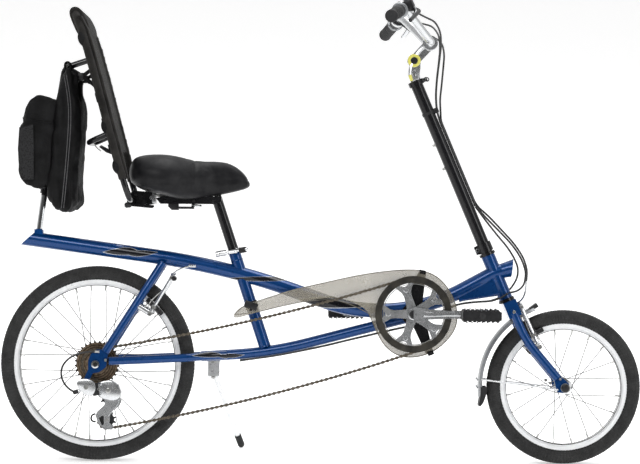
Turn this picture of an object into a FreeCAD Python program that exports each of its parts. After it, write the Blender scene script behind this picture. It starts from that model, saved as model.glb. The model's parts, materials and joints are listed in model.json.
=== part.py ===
import FreeCAD, Part
import math
import os
import Sketcher

# A semi-recumbent bicycle leaning on its side stand. Millimetres. The upright bicycle
# has X forward, Y to its left and Z up, with the rear wheel touching the ground at zero.

Vector = FreeCAD.Vector
Placement = FreeCAD.Placement
Rotation = FreeCAD.Rotation

doc = FreeCAD.newDocument("SemiRecumbent")
sheet = doc.addObject("Spreadsheet::Sheet", "Sizes")

SIZES = {
    "lean_angle": 8.5,
    "wheelbase": 1205,
    "running_clearance": 0.05,
    "seat_gap": 0.3,
    # wheels
    "rear_wheel_radius": 251,
    "front_wheel_radius": 199,
    "tyre_width": 49,
    "tyre_height": 34.6,
    "crown_half_width": 4,
    "rim_depth": 15,
    "rim_width": 24,
    "axle_diameter": 10,
    "spoke_diameter": 2,
    "spoke_lift": 4.3,
    "rear_spoke_count": 32,
    "front_spoke_count": 20,
    "rear_flange_radius": 27,
    "front_flange_radius": 22,
    "rear_dropout_gap": 128,
    "front_dropout_gap": 96,
    # steering
    "head_angle": 66.9,
    "fork_rake": 49,
    "head_tube_foot": 268,
    "head_tube_length": 121,
    "head_tube_diameter": 36,
    "steerer_diameter": 25.4,
    "riser_diameter": 32,
    "riser_height": 481,
    # frame
    "main_tube_diameter": 38,
    "main_tube_wall": 2.5,
    "lower_tube_diameter": 27,
    "seat_tube_diameter": 31,
    "stay_diameter": 21,
    "bracket_setback": 390.5,
    "bracket_z": 385,
    "bracket_shell_diameter": 40,
    "bracket_shell_width": 68,
    "spindle_diameter": 17,
    # drive
    "chain_line": 43,
    "chain_pitch": 12.7,
    "chain_plate_height": 8.2,
    "chain_plate": 1.1,
    "chain_gap": 2.8,
    "chain_sag": 17,
    "ring_teeth": 46,
    "pulley_teeth": 11,
    "crank_length": 170,
    "ring_guard_radius": 98.5,
    # seat
    "seat_post_diameter": 27.2,
    "seat_post_show": 147,
    "saddle_width": 250,
    "backrest_width": 300,
    "backrest_tube": 16,
    # stand
    "stand_rod": 14,
    "stand_foot_radius": 9,
}

for row, (alias, value) in enumerate(SIZES.items(), 1):
    sheet.set(f"A{row}", alias.replace("_", " "))
    sheet.set(f"B{row}", str(value))
    sheet.setAlias(f"B{row}", alias)
doc.recompute()


def size(expression):
    return float(sheet.evalExpression(str(expression)))


class Sizes:
    def __getattr__(self, alias):
        return float(sheet.get(alias))


s = Sizes()
parts = {}

# Places that several pieces share

steer_tilt = 90 - s.head_angle
bracket_x = s.wheelbase - s.bracket_setback
steer_cos = math.cos(math.radians(steer_tilt))
steer_sin = math.sin(math.radians(steer_tilt))
steer_foot = Vector(
    s.wheelbase - s.fork_rake * steer_cos, 0, s.front_wheel_radius - s.fork_rake * steer_sin
)
UPRIGHT = Placement()
STEER = Placement(steer_foot, Rotation(Vector(0, 1, 0), -steer_tilt))
REAR_AXLE = Placement(Vector(0, 0, s.rear_wheel_radius), Rotation())
FRONT_AXLE = Placement(Vector(s.wheelbase, 0, s.front_wheel_radius), Rotation())
BRACKET = Placement(Vector(bracket_x, 0, s.bracket_z), Rotation())
TO_SIDE = Rotation(Vector(1, 0, 0), 90)  # turns a local Z axis to the right, -Y

lean = math.radians(s.lean_angle)
crown_drop = s.crown_half_width * math.sin(lean)
LEAN = Placement(Vector(0, 0, crown_drop), Rotation(Vector(1, 0, 0), -s.lean_angle))


def steer_point(forward, side, up):
    return STEER.multVec(Vector(forward, side, up))


def keep(obj, label, place=UPRIGHT):
    obj.Label = label
    obj.Placement = LEAN.multiply(place).multiply(obj.Placement)
    parts[label] = obj
    return obj


def solid(label, shape, place=UPRIGHT):
    obj = doc.addObject("Part::Feature", label)
    obj.Shape = shape
    return keep(obj, label, place)


# Sketched bodies


def sketch_on(body, role, name):
    sketch = body.newObject("Sketcher::SketchObject", name)
    plane = [p for p in body.Origin.OriginFeatures if p.Role == role][0]
    sketch.AttachmentSupport = (plane, [""])
    sketch.MapMode = "FlatFace"
    return sketch


def outline(sketch, corners):
    points = [Vector(size(a), size(b), 0) for a, b in corners]
    first = sketch.GeometryCount
    count = len(points)
    for i, point in enumerate(points):
        sketch.addGeometry(Part.LineSegment(point, points[(i + 1) % count]), False)
    for i in range(count):
        sketch.addConstraint(
            Sketcher.Constraint("Coincident", first + i, 2, first + (i + 1) % count, 1)
        )
    for i, (across, up) in enumerate(corners):
        for kind, where, value in (
            ("DistanceX", across, points[i].x),
            ("DistanceY", up, points[i].y),
        ):
            index = sketch.addConstraint(
                Sketcher.Constraint(kind, -1, 1, first + i, 1, value)
            )
            sketch.setExpression(f"Constraints[{index}]", str(where))


def turned(label, corners, place, spin=TO_SIDE):
    """A body turned about its own Z axis from (radius, along) corners."""
    body = doc.addObject("PartDesign::Body", label)
    section = sketch_on(body, "XZ_Plane", "Section")
    outline(section, corners)
    turn = body.newObject("PartDesign::Revolution", "Turned")
    turn.Profile = section
    turn.ReferenceAxis = (section, ["V_Axis"])
    turn.Angle = 360
    section.Visibility = False
    body.Placement = Placement(Vector(), spin)
    return keep(body, label, place)


# Tubes


def rounded_path(stops):
    """A wire of straight runs joined by tangent arcs; a stop is a point and its arc's radius."""
    edges = []
    start = stops[0][0]
    for (before, _), (corner, radius), (after, _) in zip(stops, stops[1:], stops[2:]):
        come = (corner - before).normalize()
        go = (after - corner).normalize()
        half = come.getAngle(go) / 2
        reach = radius * math.tan(half)
        enter = corner - come * reach
        leave = corner + go * reach
        inward = (go - come).normalize()
        middle = corner + inward * (radius / math.cos(half) - radius)
        if (enter - start).Length > 1e-6:
            edges.append(Part.LineSegment(start, enter).toShape())
        edges.append(Part.Arc(enter, middle, leave).toShape())
        start = leave
    edges.append(Part.LineSegment(start, stops[-1][0]).toShape())
    return Part.Wire(edges)


def swept(stops, diameter):
    path = rounded_path(stops)
    first = stops[0][0]
    heading = (stops[1][0] - first).normalize()
    ring = Part.Wire(Part.Circle(first, heading, diameter / 2).toShape())
    return path.makePipeShell([ring], True, False)


def tube(stops, diameter, wall=0.0):
    shape = swept(stops, diameter)
    if wall:
        shape = shape.cut(swept(stops, diameter - 2 * wall))
    return shape


def rod(start, end, diameter, wall=0.0):
    heading = end - start
    shape = Part.makeCylinder(diameter / 2, heading.Length, start, heading)
    if wall:
        shape = shape.cut(Part.makeCylinder(diameter / 2 - wall, heading.Length, start, heading))
    return shape


def across(x, z, diameter, left, right):
    """A round bar along Y from its left end to its right end."""
    return Part.makeCylinder(diameter / 2, left - right, Vector(x, right, z), Vector(0, 1, 0))


def plate(corners, side, thickness, holes=()):
    """A plate in the XZ plane from its corners (x, z), with its right face at side."""
    wire = Part.makePolygon([Vector(x, side, z) for x, z in corners + corners[:1]])
    shape = Part.Face(wire).extrude(Vector(0, thickness, 0))
    for x, z, diameter in holes:
        shape = shape.cut(across(x, z, diameter, side + thickness + 1, side - 1))
    return shape


def curved_plate(corners, side, thickness):
    """A plate whose outline is one smooth closed curve through its corners (x, z)."""
    curve = Part.BSplineCurve()
    curve.interpolate([Vector(x, side, z) for x, z in corners], PeriodicFlag=True)
    return Part.Face(Part.Wire(curve.toShape())).extrude(Vector(0, thickness, 0))


def beside(centre, corners):
    """Corners in X and Z that are given from a centre."""
    return [(centre[0] + x, centre[1] + z) for x, z in corners]


def fused(shapes):
    whole = shapes[0]
    for shape in shapes[1:]:
        whole = whole.fuse(shape)
    return whole.removeSplitter()


def mirrored(shape):
    return shape.mirror(Vector(0, 0, 0), Vector(0, 1, 0))


# Wheels


def tyre(label, radius, place):
    half = "Sizes.tyre_width / 2"
    corners = [
        (radius, "Sizes.crown_half_width"),
        (f"{radius} - 7", f"{half} - 6.5"),
        (f"{radius} - 22", half),
        (f"{radius} - Sizes.tyre_height", "Sizes.rim_width / 2 - 0.5"),
    ]
    mirror = [(r, f"-({y})") for r, y in reversed(corners)]
    return turned(label, corners + mirror, place)


def rim(label, radius, place):
    top = f"{radius} - Sizes.tyre_height - 0.2"
    inner = f"{radius} - Sizes.tyre_height - Sizes.rim_depth"
    corners = [
        (top, "Sizes.rim_width / 2"),
        (f"{inner} + 6", "Sizes.rim_width / 2"),
        (inner, "5"),
    ]
    mirror = [(r, f"-({y})") for r, y in reversed(corners)]
    return turned(label, corners + mirror, place)


def spokes(radius, count, flange, flange_sides, cross):
    """Six-sided spokes from the two hub flanges to the rim, crossed as they are laced."""
    outer = radius - s.tyre_height - s.rim_depth - s.seat_gap
    pieces = []
    for i in range(count):
        angle = 2 * math.pi * (i + 0.5) / count
        left = i % 2 == 0
        ahead = 1 if (i // 2) % 2 == 0 else -1
        hub_angle = angle + ahead * cross
        base_side = flange_sides[0] if left else flange_sides[1]
        lift = s.spoke_lift * ahead
        start = Vector(flange * math.cos(hub_angle), base_side + lift, flange * math.sin(hub_angle))
        end = Vector(outer * math.cos(angle), (3 if left else -3), outer * math.sin(angle))
        along = (end - start).normalize()
        side = along.cross(Vector(0, 1, 0)).normalize()
        up = side.cross(along)
        ring = []
        for k in range(6):
            turn = math.pi * k / 3
            offset = side * math.cos(turn) + up * math.sin(turn)
            ring.append(start + offset * (s.spoke_diameter / 2))
        wire = Part.makePolygon(ring + ring[:1])
        pieces.append(Part.Face(wire).extrude(end - start))
    return pieces


def hub(label, profile, place):
    bore = "Sizes.axle_diameter / 2 + Sizes.running_clearance"
    return turned(label, [(bore, profile[0][1])] + profile + [(bore, profile[-1][1])], place)


def rear_wheel():
    tyre("rear_tyre", "Sizes.rear_wheel_radius", REAR_AXLE)
    rim("rear_rim", "Sizes.rear_wheel_radius", REAR_AXLE)
    sides = (34.5, -14.5)
    solid("rear_spokes", Part.makeCompound(spokes(
        s.rear_wheel_radius, int(s.rear_spoke_count), s.rear_flange_radius - 3, sides,
        math.radians(67.5))), REAR_AXLE)
    flange = "Sizes.rear_flange_radius"
    end = "Sizes.rear_dropout_gap / 2 - 5"
    hub("rear_hub", [
        ("9", f"-({end})"), ("9", "-40"), ("14", "-36"), (flange, "-36"), (flange, "-33"),
        ("15", "-31"), ("15", "11"), (flange, "13"), (flange, "16"), ("17", "18"),
        ("17", "48"), ("9", "50"), ("9", end),
    ], REAR_AXLE)
    nut_side = s.rear_dropout_gap / 2
    axle = [across(0, 0, s.axle_diameter, nut_side + 18, -nut_side - 18)]
    for side in (1, -1):
        low, high = sorted((side * (nut_side - 4.8), side * nut_side))
        axle.append(across(0, 0, 17, high, low))
        low, high = sorted((side * (nut_side + 6), side * (nut_side + 15)))
        axle.append(across(0, 0, 20, high, low))
    solid("rear_axle", fused(axle), REAR_AXLE)


def front_wheel():
    tyre("front_tyre", "Sizes.front_wheel_radius", FRONT_AXLE)
    rim("front_rim", "Sizes.front_wheel_radius", FRONT_AXLE)
    sides = (29.5, -29.5)
    solid("front_spokes", Part.makeCompound(spokes(
        s.front_wheel_radius, int(s.front_spoke_count), s.front_flange_radius - 3, sides,
        math.radians(72))), FRONT_AXLE)
    flange = "Sizes.front_flange_radius"
    end = "Sizes.front_dropout_gap / 2 - 5"
    hub("front_hub", [
        ("9", f"-({end})"), ("9", "-34"), (flange, "-31"), (flange, "-28"), ("12", "-25"),
        ("12", "25"), (flange, "28"), (flange, "31"), ("9", "34"), ("9", end),
    ], FRONT_AXLE)
    nut_side = s.front_dropout_gap / 2
    axle = [across(0, 0, s.axle_diameter, nut_side + 16, -nut_side - 16)]
    for side in (1, -1):
        low, high = sorted((side * (nut_side - 4.8), side * nut_side))
        axle.append(across(0, 0, 17, high, low))
        low, high = sorted((side * (nut_side + 6), side * (nut_side + 18)))
        axle.append(across(0, 0, 24, high, low))
    solid("front_axle", fused(axle), FRONT_AXLE)


# Frame


def frame_tubes():
    side_gap = s.main_tube_diameter / 2
    head_low = steer_point(0, 0, s.head_tube_foot)
    head_high = steer_point(0, 0, s.head_tube_foot + s.head_tube_length)
    head_middle = (head_low + head_high) / 2
    cross = (head_middle.x, head_middle.z)
    axle = (0, s.rear_wheel_radius)
    bend_x = bracket_x - 484.5
    rear_slope = 71.1 / 530
    main_stops = [
        (Vector(-200, 0, 574.1), 0),
        (Vector(bend_x, 0, 574.1 - rear_slope * (bend_x + 200)), 1800),
        (Vector(bracket_x - 47, 0, s.bracket_z - 33), 450),
        (head_middle + Vector(-7, 0, 10), 120),
        (head_middle + Vector(12.3, 0, 15.2), 0),
    ]
    lower_stops = [
        (Vector(268, 0, 270), 0),
        (Vector(448, 0, 282), 1000),
        (Vector(bracket_x, 0, s.bracket_z - 7), 0),
    ]
    seat_top = Vector(348.6, 0, 546.4)
    seat_foot = Vector(432.3, 0, 295.5)
    shell = across(bracket_x, s.bracket_z, s.bracket_shell_diameter,
                   s.bracket_shell_width / 2, -s.bracket_shell_width / 2)
    shell_bore = across(bracket_x, s.bracket_z, s.spindle_diameter + 2 * s.running_clearance,
                        s.bracket_shell_width, -s.bracket_shell_width)
    head = rod(head_low, head_high, s.head_tube_diameter)
    head_bore = rod(head_low, head_high, s.steerer_diameter + 2 * s.running_clearance)
    down = (seat_foot - seat_top).normalize()
    seat_solid = rod(seat_top, seat_foot, s.seat_tube_diameter)
    post_hole = rod(seat_top - down, seat_foot, s.seat_post_diameter + 2 * s.running_clearance)
    mouth = main_stops[-1][0]
    front_run = (mouth - main_stops[-2][0]).normalize()
    wall = s.main_tube_wall
    half_main = s.main_tube_diameter / 2
    flare = Part.makeCone(half_main, half_main + 4.2, 40, mouth, front_run)
    flare_hollow = Part.makeCone(half_main - wall, half_main + 4.2 - wall, 40, mouth, front_run)
    slant = plate(beside(cross, [(43, 58), (99, 58), (99, -22), (35, -22)]), -60, 120)
    tail_slant = plate([(-153, 599), (-205, 552.2), (-240, 545), (-240, 620)], -60, 120)
    slant = Part.makeCompound([slant, tail_slant])
    main_solid = tube(main_stops, s.main_tube_diameter).fuse(flare).cut(slant)
    lower_solid = tube(lower_stops, s.lower_tube_diameter)
    main = tube(main_stops, s.main_tube_diameter, wall).fuse(flare.cut(flare_hollow)).cut(slant)
    main = main.cut(shell).cut(head).cut(seat_solid)
    solid("main_tube", biggest(main, 4))
    lower = lower_solid.cut(shell).cut(main_solid)
    solid("lower_tube", biggest(lower, 1))
    solid("seat_tube", biggest(seat_solid.cut(post_hole).cut(lower_solid), 1))
    solid("head_tube", head.cut(head_bore))
    solid("bottom_bracket_shell", shell.cut(shell_bore))
    gusset = plate(beside(cross, [(-97, -66), (-82, -62.5), (3, -49), (13, -36), (3, -2), (-31, 2),
                                  (-71, -20), (-101, -42)]), -14, 28)
    lower_edges = [edge for edge in gusset.Edges if abs(edge.Vertexes[0].Y) == 14
                   and edge.Vertexes[0].Y == edge.Vertexes[1].Y
                   and max(v.Z for v in edge.Vertexes) < cross[1] - 48]
    gusset = gusset.makeFillet(7, lower_edges)
    solid("head_gusset", biggest(gusset.cut(main_solid).cut(head), 1))
    drop = plate(beside(axle, [(-19, 9), (-12, 26), (4, 38), (24, 37), (31, 25), (27, -7), (10, -20),
                               (-10, -24), (-19, -12)]), s.rear_dropout_gap / 2, 6,
                 [(*axle, s.axle_diameter + 0.1)])
    hanger = plate(beside(axle, [(-18, -12), (-6, -22), (-17, -44), (-20, -52), (-30, -52), (-33, -44),
                                 (-27, -32)]), -s.rear_dropout_gap / 2 - 6, 6)
    right_drop = mirrored(drop).fuse(hanger).removeSplitter()
    right_drop = right_drop.cut(across(-25, axle[1] - 44, 10, -50, -90))
    solid("dropouts", Part.makeCompound([drop, right_drop]))
    seat_stay = tube([
        (Vector(24, 69, axle[1] + 31), 0),
        (Vector(168, side_gap + s.stay_diameter / 2 + 0.3, 512), 0),
    ], s.stay_diameter).cut(drop)
    solid("seat_stays", Part.makeCompound([seat_stay, mirrored(seat_stay)]))
    side = s.lower_tube_diameter / 2 + s.stay_diameter / 2 + 0.3
    chain_stay = tube([
        (Vector(33, 67, axle[1] + 8), 0),
        (Vector(110, 54, axle[1] + 11), 300),
        (Vector(232, 42, 268), 150),
        (Vector(288, side, 272), 60),
        (Vector(335, side, 275), 0),
    ], s.stay_diameter).cut(drop)
    solid("chain_stays", Part.makeCompound([chain_stay, mirrored(chain_stay)]))
    return main_solid, lower_solid, chain_stay, seat_top, down


def biggest(shape, count):
    """The largest solids of a cut shape, without slivers that the cuts leave inside."""
    pieces = sorted(shape.Solids, key=lambda piece: -piece.Volume)[:count]
    return pieces[0] if len(pieces) == 1 else Part.makeCompound(pieces)


# Seat


def seat(main_solid, seat_top, down):
    post_low = seat_top + down * 98
    post_high = seat_top - down * s.seat_post_show
    solid("seat_post", rod(post_low, post_high, s.seat_post_diameter, 2))
    collar = rod(seat_top + down * 9, seat_top - down * 1.5, s.seat_tube_diameter + 6)
    tube_room = rod(seat_top + down * 30, seat_top - down * 30, s.seat_tube_diameter + 0.1)
    skewer_side = -s.seat_tube_diameter / 2 - 8
    skewer_back = seat_top + Vector(-35, skewer_side, -9.5)
    skewer_front = seat_top + Vector(35, skewer_side, 1.5)
    skewer = (skewer_front - skewer_back).normalize()
    lug = rod(seat_top + Vector(-11, skewer_side + 4, -6), seat_top + Vector(10, skewer_side + 4, -2.5), 13)
    pieces = [
        collar,
        lug,
        rod(skewer_back, skewer_front, 6),
        rod(skewer_back, skewer_back + skewer * 18, 15),
        rod(skewer_front - skewer * 18, skewer_front, 13),
    ]
    solid("seat_clamp", fused(pieces).cut(tube_room))

    crossbar = Vector(-18, 0, 1036)
    shoulder = s.backrest_width / 2 - s.backrest_tube / 2 + 8
    half = [
        (Vector(88, 0, 674), 0),
        (Vector(88, 8 - shoulder, 674), 38),
        (Vector(50, 2 - shoulder, 795), 300),
        (Vector(-2, -shoulder, 990), 400),
        (Vector(-36, 4 - shoulder, 1105), 60),
        (Vector(-58, 60 - shoulder, 1152), 50),
        (Vector(-60, 0, 1154), 0),
    ]
    right_tube = tube(half, s.backrest_tube)
    bar = across(crossbar.x, crossbar.z, s.backrest_tube, shoulder, -shoulder)
    low_bar = across(35, 846, s.backrest_tube, shoulder, -shoulder)
    loop = tube([
        (Vector(35, -60, 846), 0),
        (Vector(-23, -60, 820), 24),
        (Vector(-23, 60, 820), 24),
        (Vector(35, 60, 846), 0),
    ], s.backrest_tube - 1)
    frame = right_tube.multiFuse([mirrored(right_tube), bar, low_bar, loop]).removeSplitter()
    solid("backrest_frame", frame)

    rest_line = [(-52, 1140), (-36, 1105), (-2, 990), (50, 795)]
    front_edge = [(90, 773), (79, 823), (64, 874), (51, 924), (38, 970), (22, 1030), (10, 1076),
                  (-6, 1108), (-22, 1134), (-30, 1143)]
    sheet = plate([(x + 12, z + 3) for x, z in reversed(rest_line)] + rest_line,
                  -shoulder, 2 * shoulder)
    edge = plate(rest_line + [(72, 722), (93, 722)] + front_edge, -shoulder, 42)
    whole = fused([sheet, edge, mirrored(edge)])
    wide = s.backrest_tube + 2 * s.seat_gap
    right_room = tube(half, wide)
    whole = whole.cut(right_room).cut(mirrored(right_room))
    whole = whole.cut(across(crossbar.x, crossbar.z, wide, 200, -200))
    whole = whole.cut(across(35, 846, wide, 200, -200))
    solid("backrest_panel", biggest(whole, 1))

    carrier_block = plate([(148, 679), (190, 686), (255, 686), (318, 683), (318, 672), (300, 664),
                           (160, 664)], -32, 64)
    carrier = carrier_block.cut(rod(post_low, post_high + (post_high - post_low), s.seat_post_diameter))
    recline = plate([(72, 688), (94, 697), (147, 694), (147.5, 664), (110, 657), (74, 660)], -26, 52)
    recline = recline.cut(across(half[0][0].x, half[0][0].z, wide, 40, -40))
    lever = plate([(84, 657), (140, 652), (146, 656), (144, 660), (86, 664)], -48, 8)
    peg = across(120, 668, 12, -26, -48)
    solid("seat_carrier", Part.makeCompound([biggest(carrier, 1),
                                             fused([biggest(recline, 1), peg, lever])]))

    # Each station of the saddle: how far forward, half its width, its top and its underside.
    stations = [
        (83, 58, 757, 727), (88, 84, 775, 715), (102, 106, 785, 708), (130, 121, 788, 699),
        (170, 125, 789, 690), (215, 105, 782, 681), (262, 66, 774, 684), (315, 42, 772, 692),
        (358, 35, 759, 701), (382, 24, 736, 707), (391, 10, 720, 712),
    ]
    wires = []
    for forward, side, top, base in stations:
        deep = top - base
        right = [(0.45, top), (0.82, top - 0.16 * deep), (1.0, top - 0.5 * deep),
                 (0.94, base + 0.14 * deep), (0.72, base)]
        ring = [Vector(forward, 0, top - 0.05 * deep)]
        ring += [Vector(forward, share * side, z) for share, z in right]
        ring += [Vector(forward, 0, base)]
        ring += [Vector(forward, -share * side, z) for share, z in reversed(right)]
        curve = Part.BSplineCurve()
        curve.interpolate(ring, PeriodicFlag=True)
        wires.append(Part.Wire(curve.toShape()))
    saddle = Part.makeLoft(wires, True, False)
    solid("saddle", biggest(saddle.cut(carrier_block), 1))

    strut = [
        (Vector(-155, 0, 592), 0),
        (Vector(-141, 0, 697), 500),
        (Vector(-92, 0, 1014), 26),
        (Vector(crossbar.x - s.backrest_tube / 2 - 0.2, 0, crossbar.z), 0),
    ]
    boss = plate([(-166, 571), (-142, 570), (-144, 594), (-166, 596)], -12, 24).cut(main_solid)
    sleeve_ends = (Vector(-142.4, 0, 688), Vector(-137.9, 0, 714))
    sleeve = rod(*sleeve_ends, 23)
    solid("back_strut", fused([tube(strut, 16).cut(bar), boss, sleeve]))
    tall_outline = [(-80, 1008), (-86, 978), (-96, 940), (-103, 900), (-109, 845), (-113, 785),
                    (-117, 725), (-119, 683), (-112, 657), (-98, 641), (-76, 636), (-62, 644),
                    (-58, 676), (-56, 750), (-50, 818), (-48, 880), (-52, 925), (-60, 975),
                    (-68, 1008)]
    tall = curved_plate(tall_outline, -105, 210)
    sleeve_room = rod(sleeve_ends[0] + Vector(-1, 0, -5), sleeve_ends[1] + Vector(1, 0, 5), 24)
    strut_room = tube(strut, 17).fuse(sleeve_room)
    tall = biggest(tall.cut(strut_room), 1)
    solid("tall_bag", tall)
    rear_outline = [(-102, 926), (-120, 935), (-145, 940), (-166, 932), (-182, 900), (-194, 858),
                    (-199, 800), (-198, 752), (-188, 719), (-164, 702), (-139, 698), (-120, 712),
                    (-108, 800)]
    pocket = curved_plate(rear_outline, -92, 184)
    pocket = pocket.cut(curved_plate(tall_outline, -105, 210)).cut(strut_room)
    solid("rear_bag", biggest(pocket, 1))


# Drive


def toothed(teeth, thickness, centre, side, bore, depth=3.0):
    """A sprocket with one trapezoid for each tooth, its mid-plane at side."""
    pitch = s.chain_pitch / (2 * math.sin(math.pi / teeth))
    root = pitch - depth - 0.6
    tip = pitch + depth * 0.65
    corners = []
    step = 2 * math.pi / teeth
    for i in range(teeth):
        for share, reach in ((0.24, root), (0.39, tip), (0.61, tip), (0.76, root)):
            angle = (i + share) * step
            corners.append((centre[0] + reach * math.cos(angle), centre[1] + reach * math.sin(angle)))
    shape = plate(corners, side - thickness / 2, thickness)
    return shape.cut(across(*centre, bore, side + thickness, side - thickness))


def pitch_radius(teeth):
    return s.chain_pitch / (2 * math.sin(math.pi / teeth))


def chain_stops():
    """Wrapped circles in the order of travel: centre, radius, which is negative when turned left."""
    return [
        (bracket_x, s.bracket_z, pitch_radius(s.ring_teeth)),
        (28.0, s.rear_wheel_radius - 144, pitch_radius(s.pulley_teeth)),
        (33.0, s.rear_wheel_radius - 85, -pitch_radius(s.pulley_teeth)),
        (0.0, s.rear_wheel_radius, pitch_radius(18)),
    ]


def leave_angle(one, two):
    """The left normal's angle of the straight run from one circle to the next."""
    dx = two[0] - one[0]
    dz = two[1] - one[1]
    heading = math.atan2(dz, dx) - math.asin((one[2] - two[2]) / math.hypot(dx, dz))
    return heading + math.pi / 2


def sag_circle(one, two, sag, sign):
    """The large circle of a run that hangs between two circles, with its centre above."""
    span = math.hypot(two[0] - one[0], two[1] - one[1])
    big = sign * span ** 2 / (8 * sag)
    r1 = abs(big - one[2])
    r2 = abs(big - two[2])
    along = (r1 ** 2 - r2 ** 2 + span ** 2) / (2 * span)
    rise = math.sqrt(r1 ** 2 - along ** 2)
    ux = (two[0] - one[0]) / span
    uz = (two[1] - one[1]) / span
    nx, nz = (-uz, ux) if ux > 0 else (uz, -ux)
    return (one[0] + ux * along + nx * rise, one[1] + uz * along + nz * rise, big)


def chain_edges(offset, side):
    """The edges of the chain's line, moved to its left by offset, and the two hanging ones."""
    stops = chain_stops()
    ring, tension, guide, cog = stops
    low = sag_circle(ring, tension, s.chain_sag, 1)
    high = sag_circle(cog, ring, s.chain_sag, -1)
    order = [ring, low, tension, guide, cog, high]

    def touch(one, two):
        if one in (low, high) or two in (low, high):
            big, small = (one, two) if one in (low, high) else (two, one)
            reach = small[2] - big[2]
            return math.atan2((big[1] - small[1]) / reach, (big[0] - small[0]) / reach)
        return leave_angle(one, two)

    edges = []
    hanging = []
    count = len(order)
    for i, now in enumerate(order):
        before = order[i - 1]
        after = order[(i + 1) % count]
        a1 = touch(before, now)
        a2 = touch(now, after)
        clockwise = now[2] > 0
        turn = (a1 - a2) % (2 * math.pi) if clockwise else (a2 - a1) % (2 * math.pi)
        middle = a1 - turn / 2 if clockwise else a1 + turn / 2
        reach = now[2] + offset
        points = [Vector(now[0] + reach * math.cos(a), side, now[1] + reach * math.sin(a))
                  for a in (a1, middle, a2)]
        if edges and (edges[-1].Vertexes[-1].Point - points[0]).Length > 1e-4:
            edges.append(Part.LineSegment(edges[-1].Vertexes[-1].Point, points[0]).toShape())
        arc = Part.Arc(*points).toShape()
        edges.append(arc)
        if now in (low, high):
            hanging.append(arc)
    last = edges[-1].Vertexes[-1].Point
    first = edges[0].Vertexes[0].Point
    if (last - first).Length > 1e-4:
        edges.append(Part.LineSegment(last, first).toShape())
    return edges, hanging


def chain():
    half = s.chain_plate_height / 2
    pieces = []
    for side in (-s.chain_line + s.chain_gap / 2, -s.chain_line - s.chain_gap / 2 - s.chain_plate):
        outer = Part.Wire(chain_edges(half, side)[0])
        inner = Part.Wire(chain_edges(-half, side)[0])
        face = Part.Face(outer).cut(Part.Face(inner))
        pieces.append(face.extrude(Vector(0, s.chain_plate, 0)))
    low_side = -s.chain_line - s.chain_gap / 2
    tops = chain_edges(1.6, low_side)[1]
    bottoms = chain_edges(-1.6, low_side)[1]
    for top, bottom in zip(tops, bottoms):
        ends = [
            Part.LineSegment(top.Vertexes[i].Point, bottom.Vertexes[i].Point).toShape()
            for i in (0, 1)
        ]
        wire = Part.Wire(Part.__sortEdges__([top, bottom] + ends))
        web = Part.Face(wire).extrude(Vector(0, s.chain_gap, 0))
        for x, z, reach in chain_stops():
            room = 2 * (abs(reach) + 6)
            web = web.cut(across(x, z, room, 0, -2 * s.chain_line))
        pieces.append(web)
    solid("chain", fused(pieces))


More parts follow.
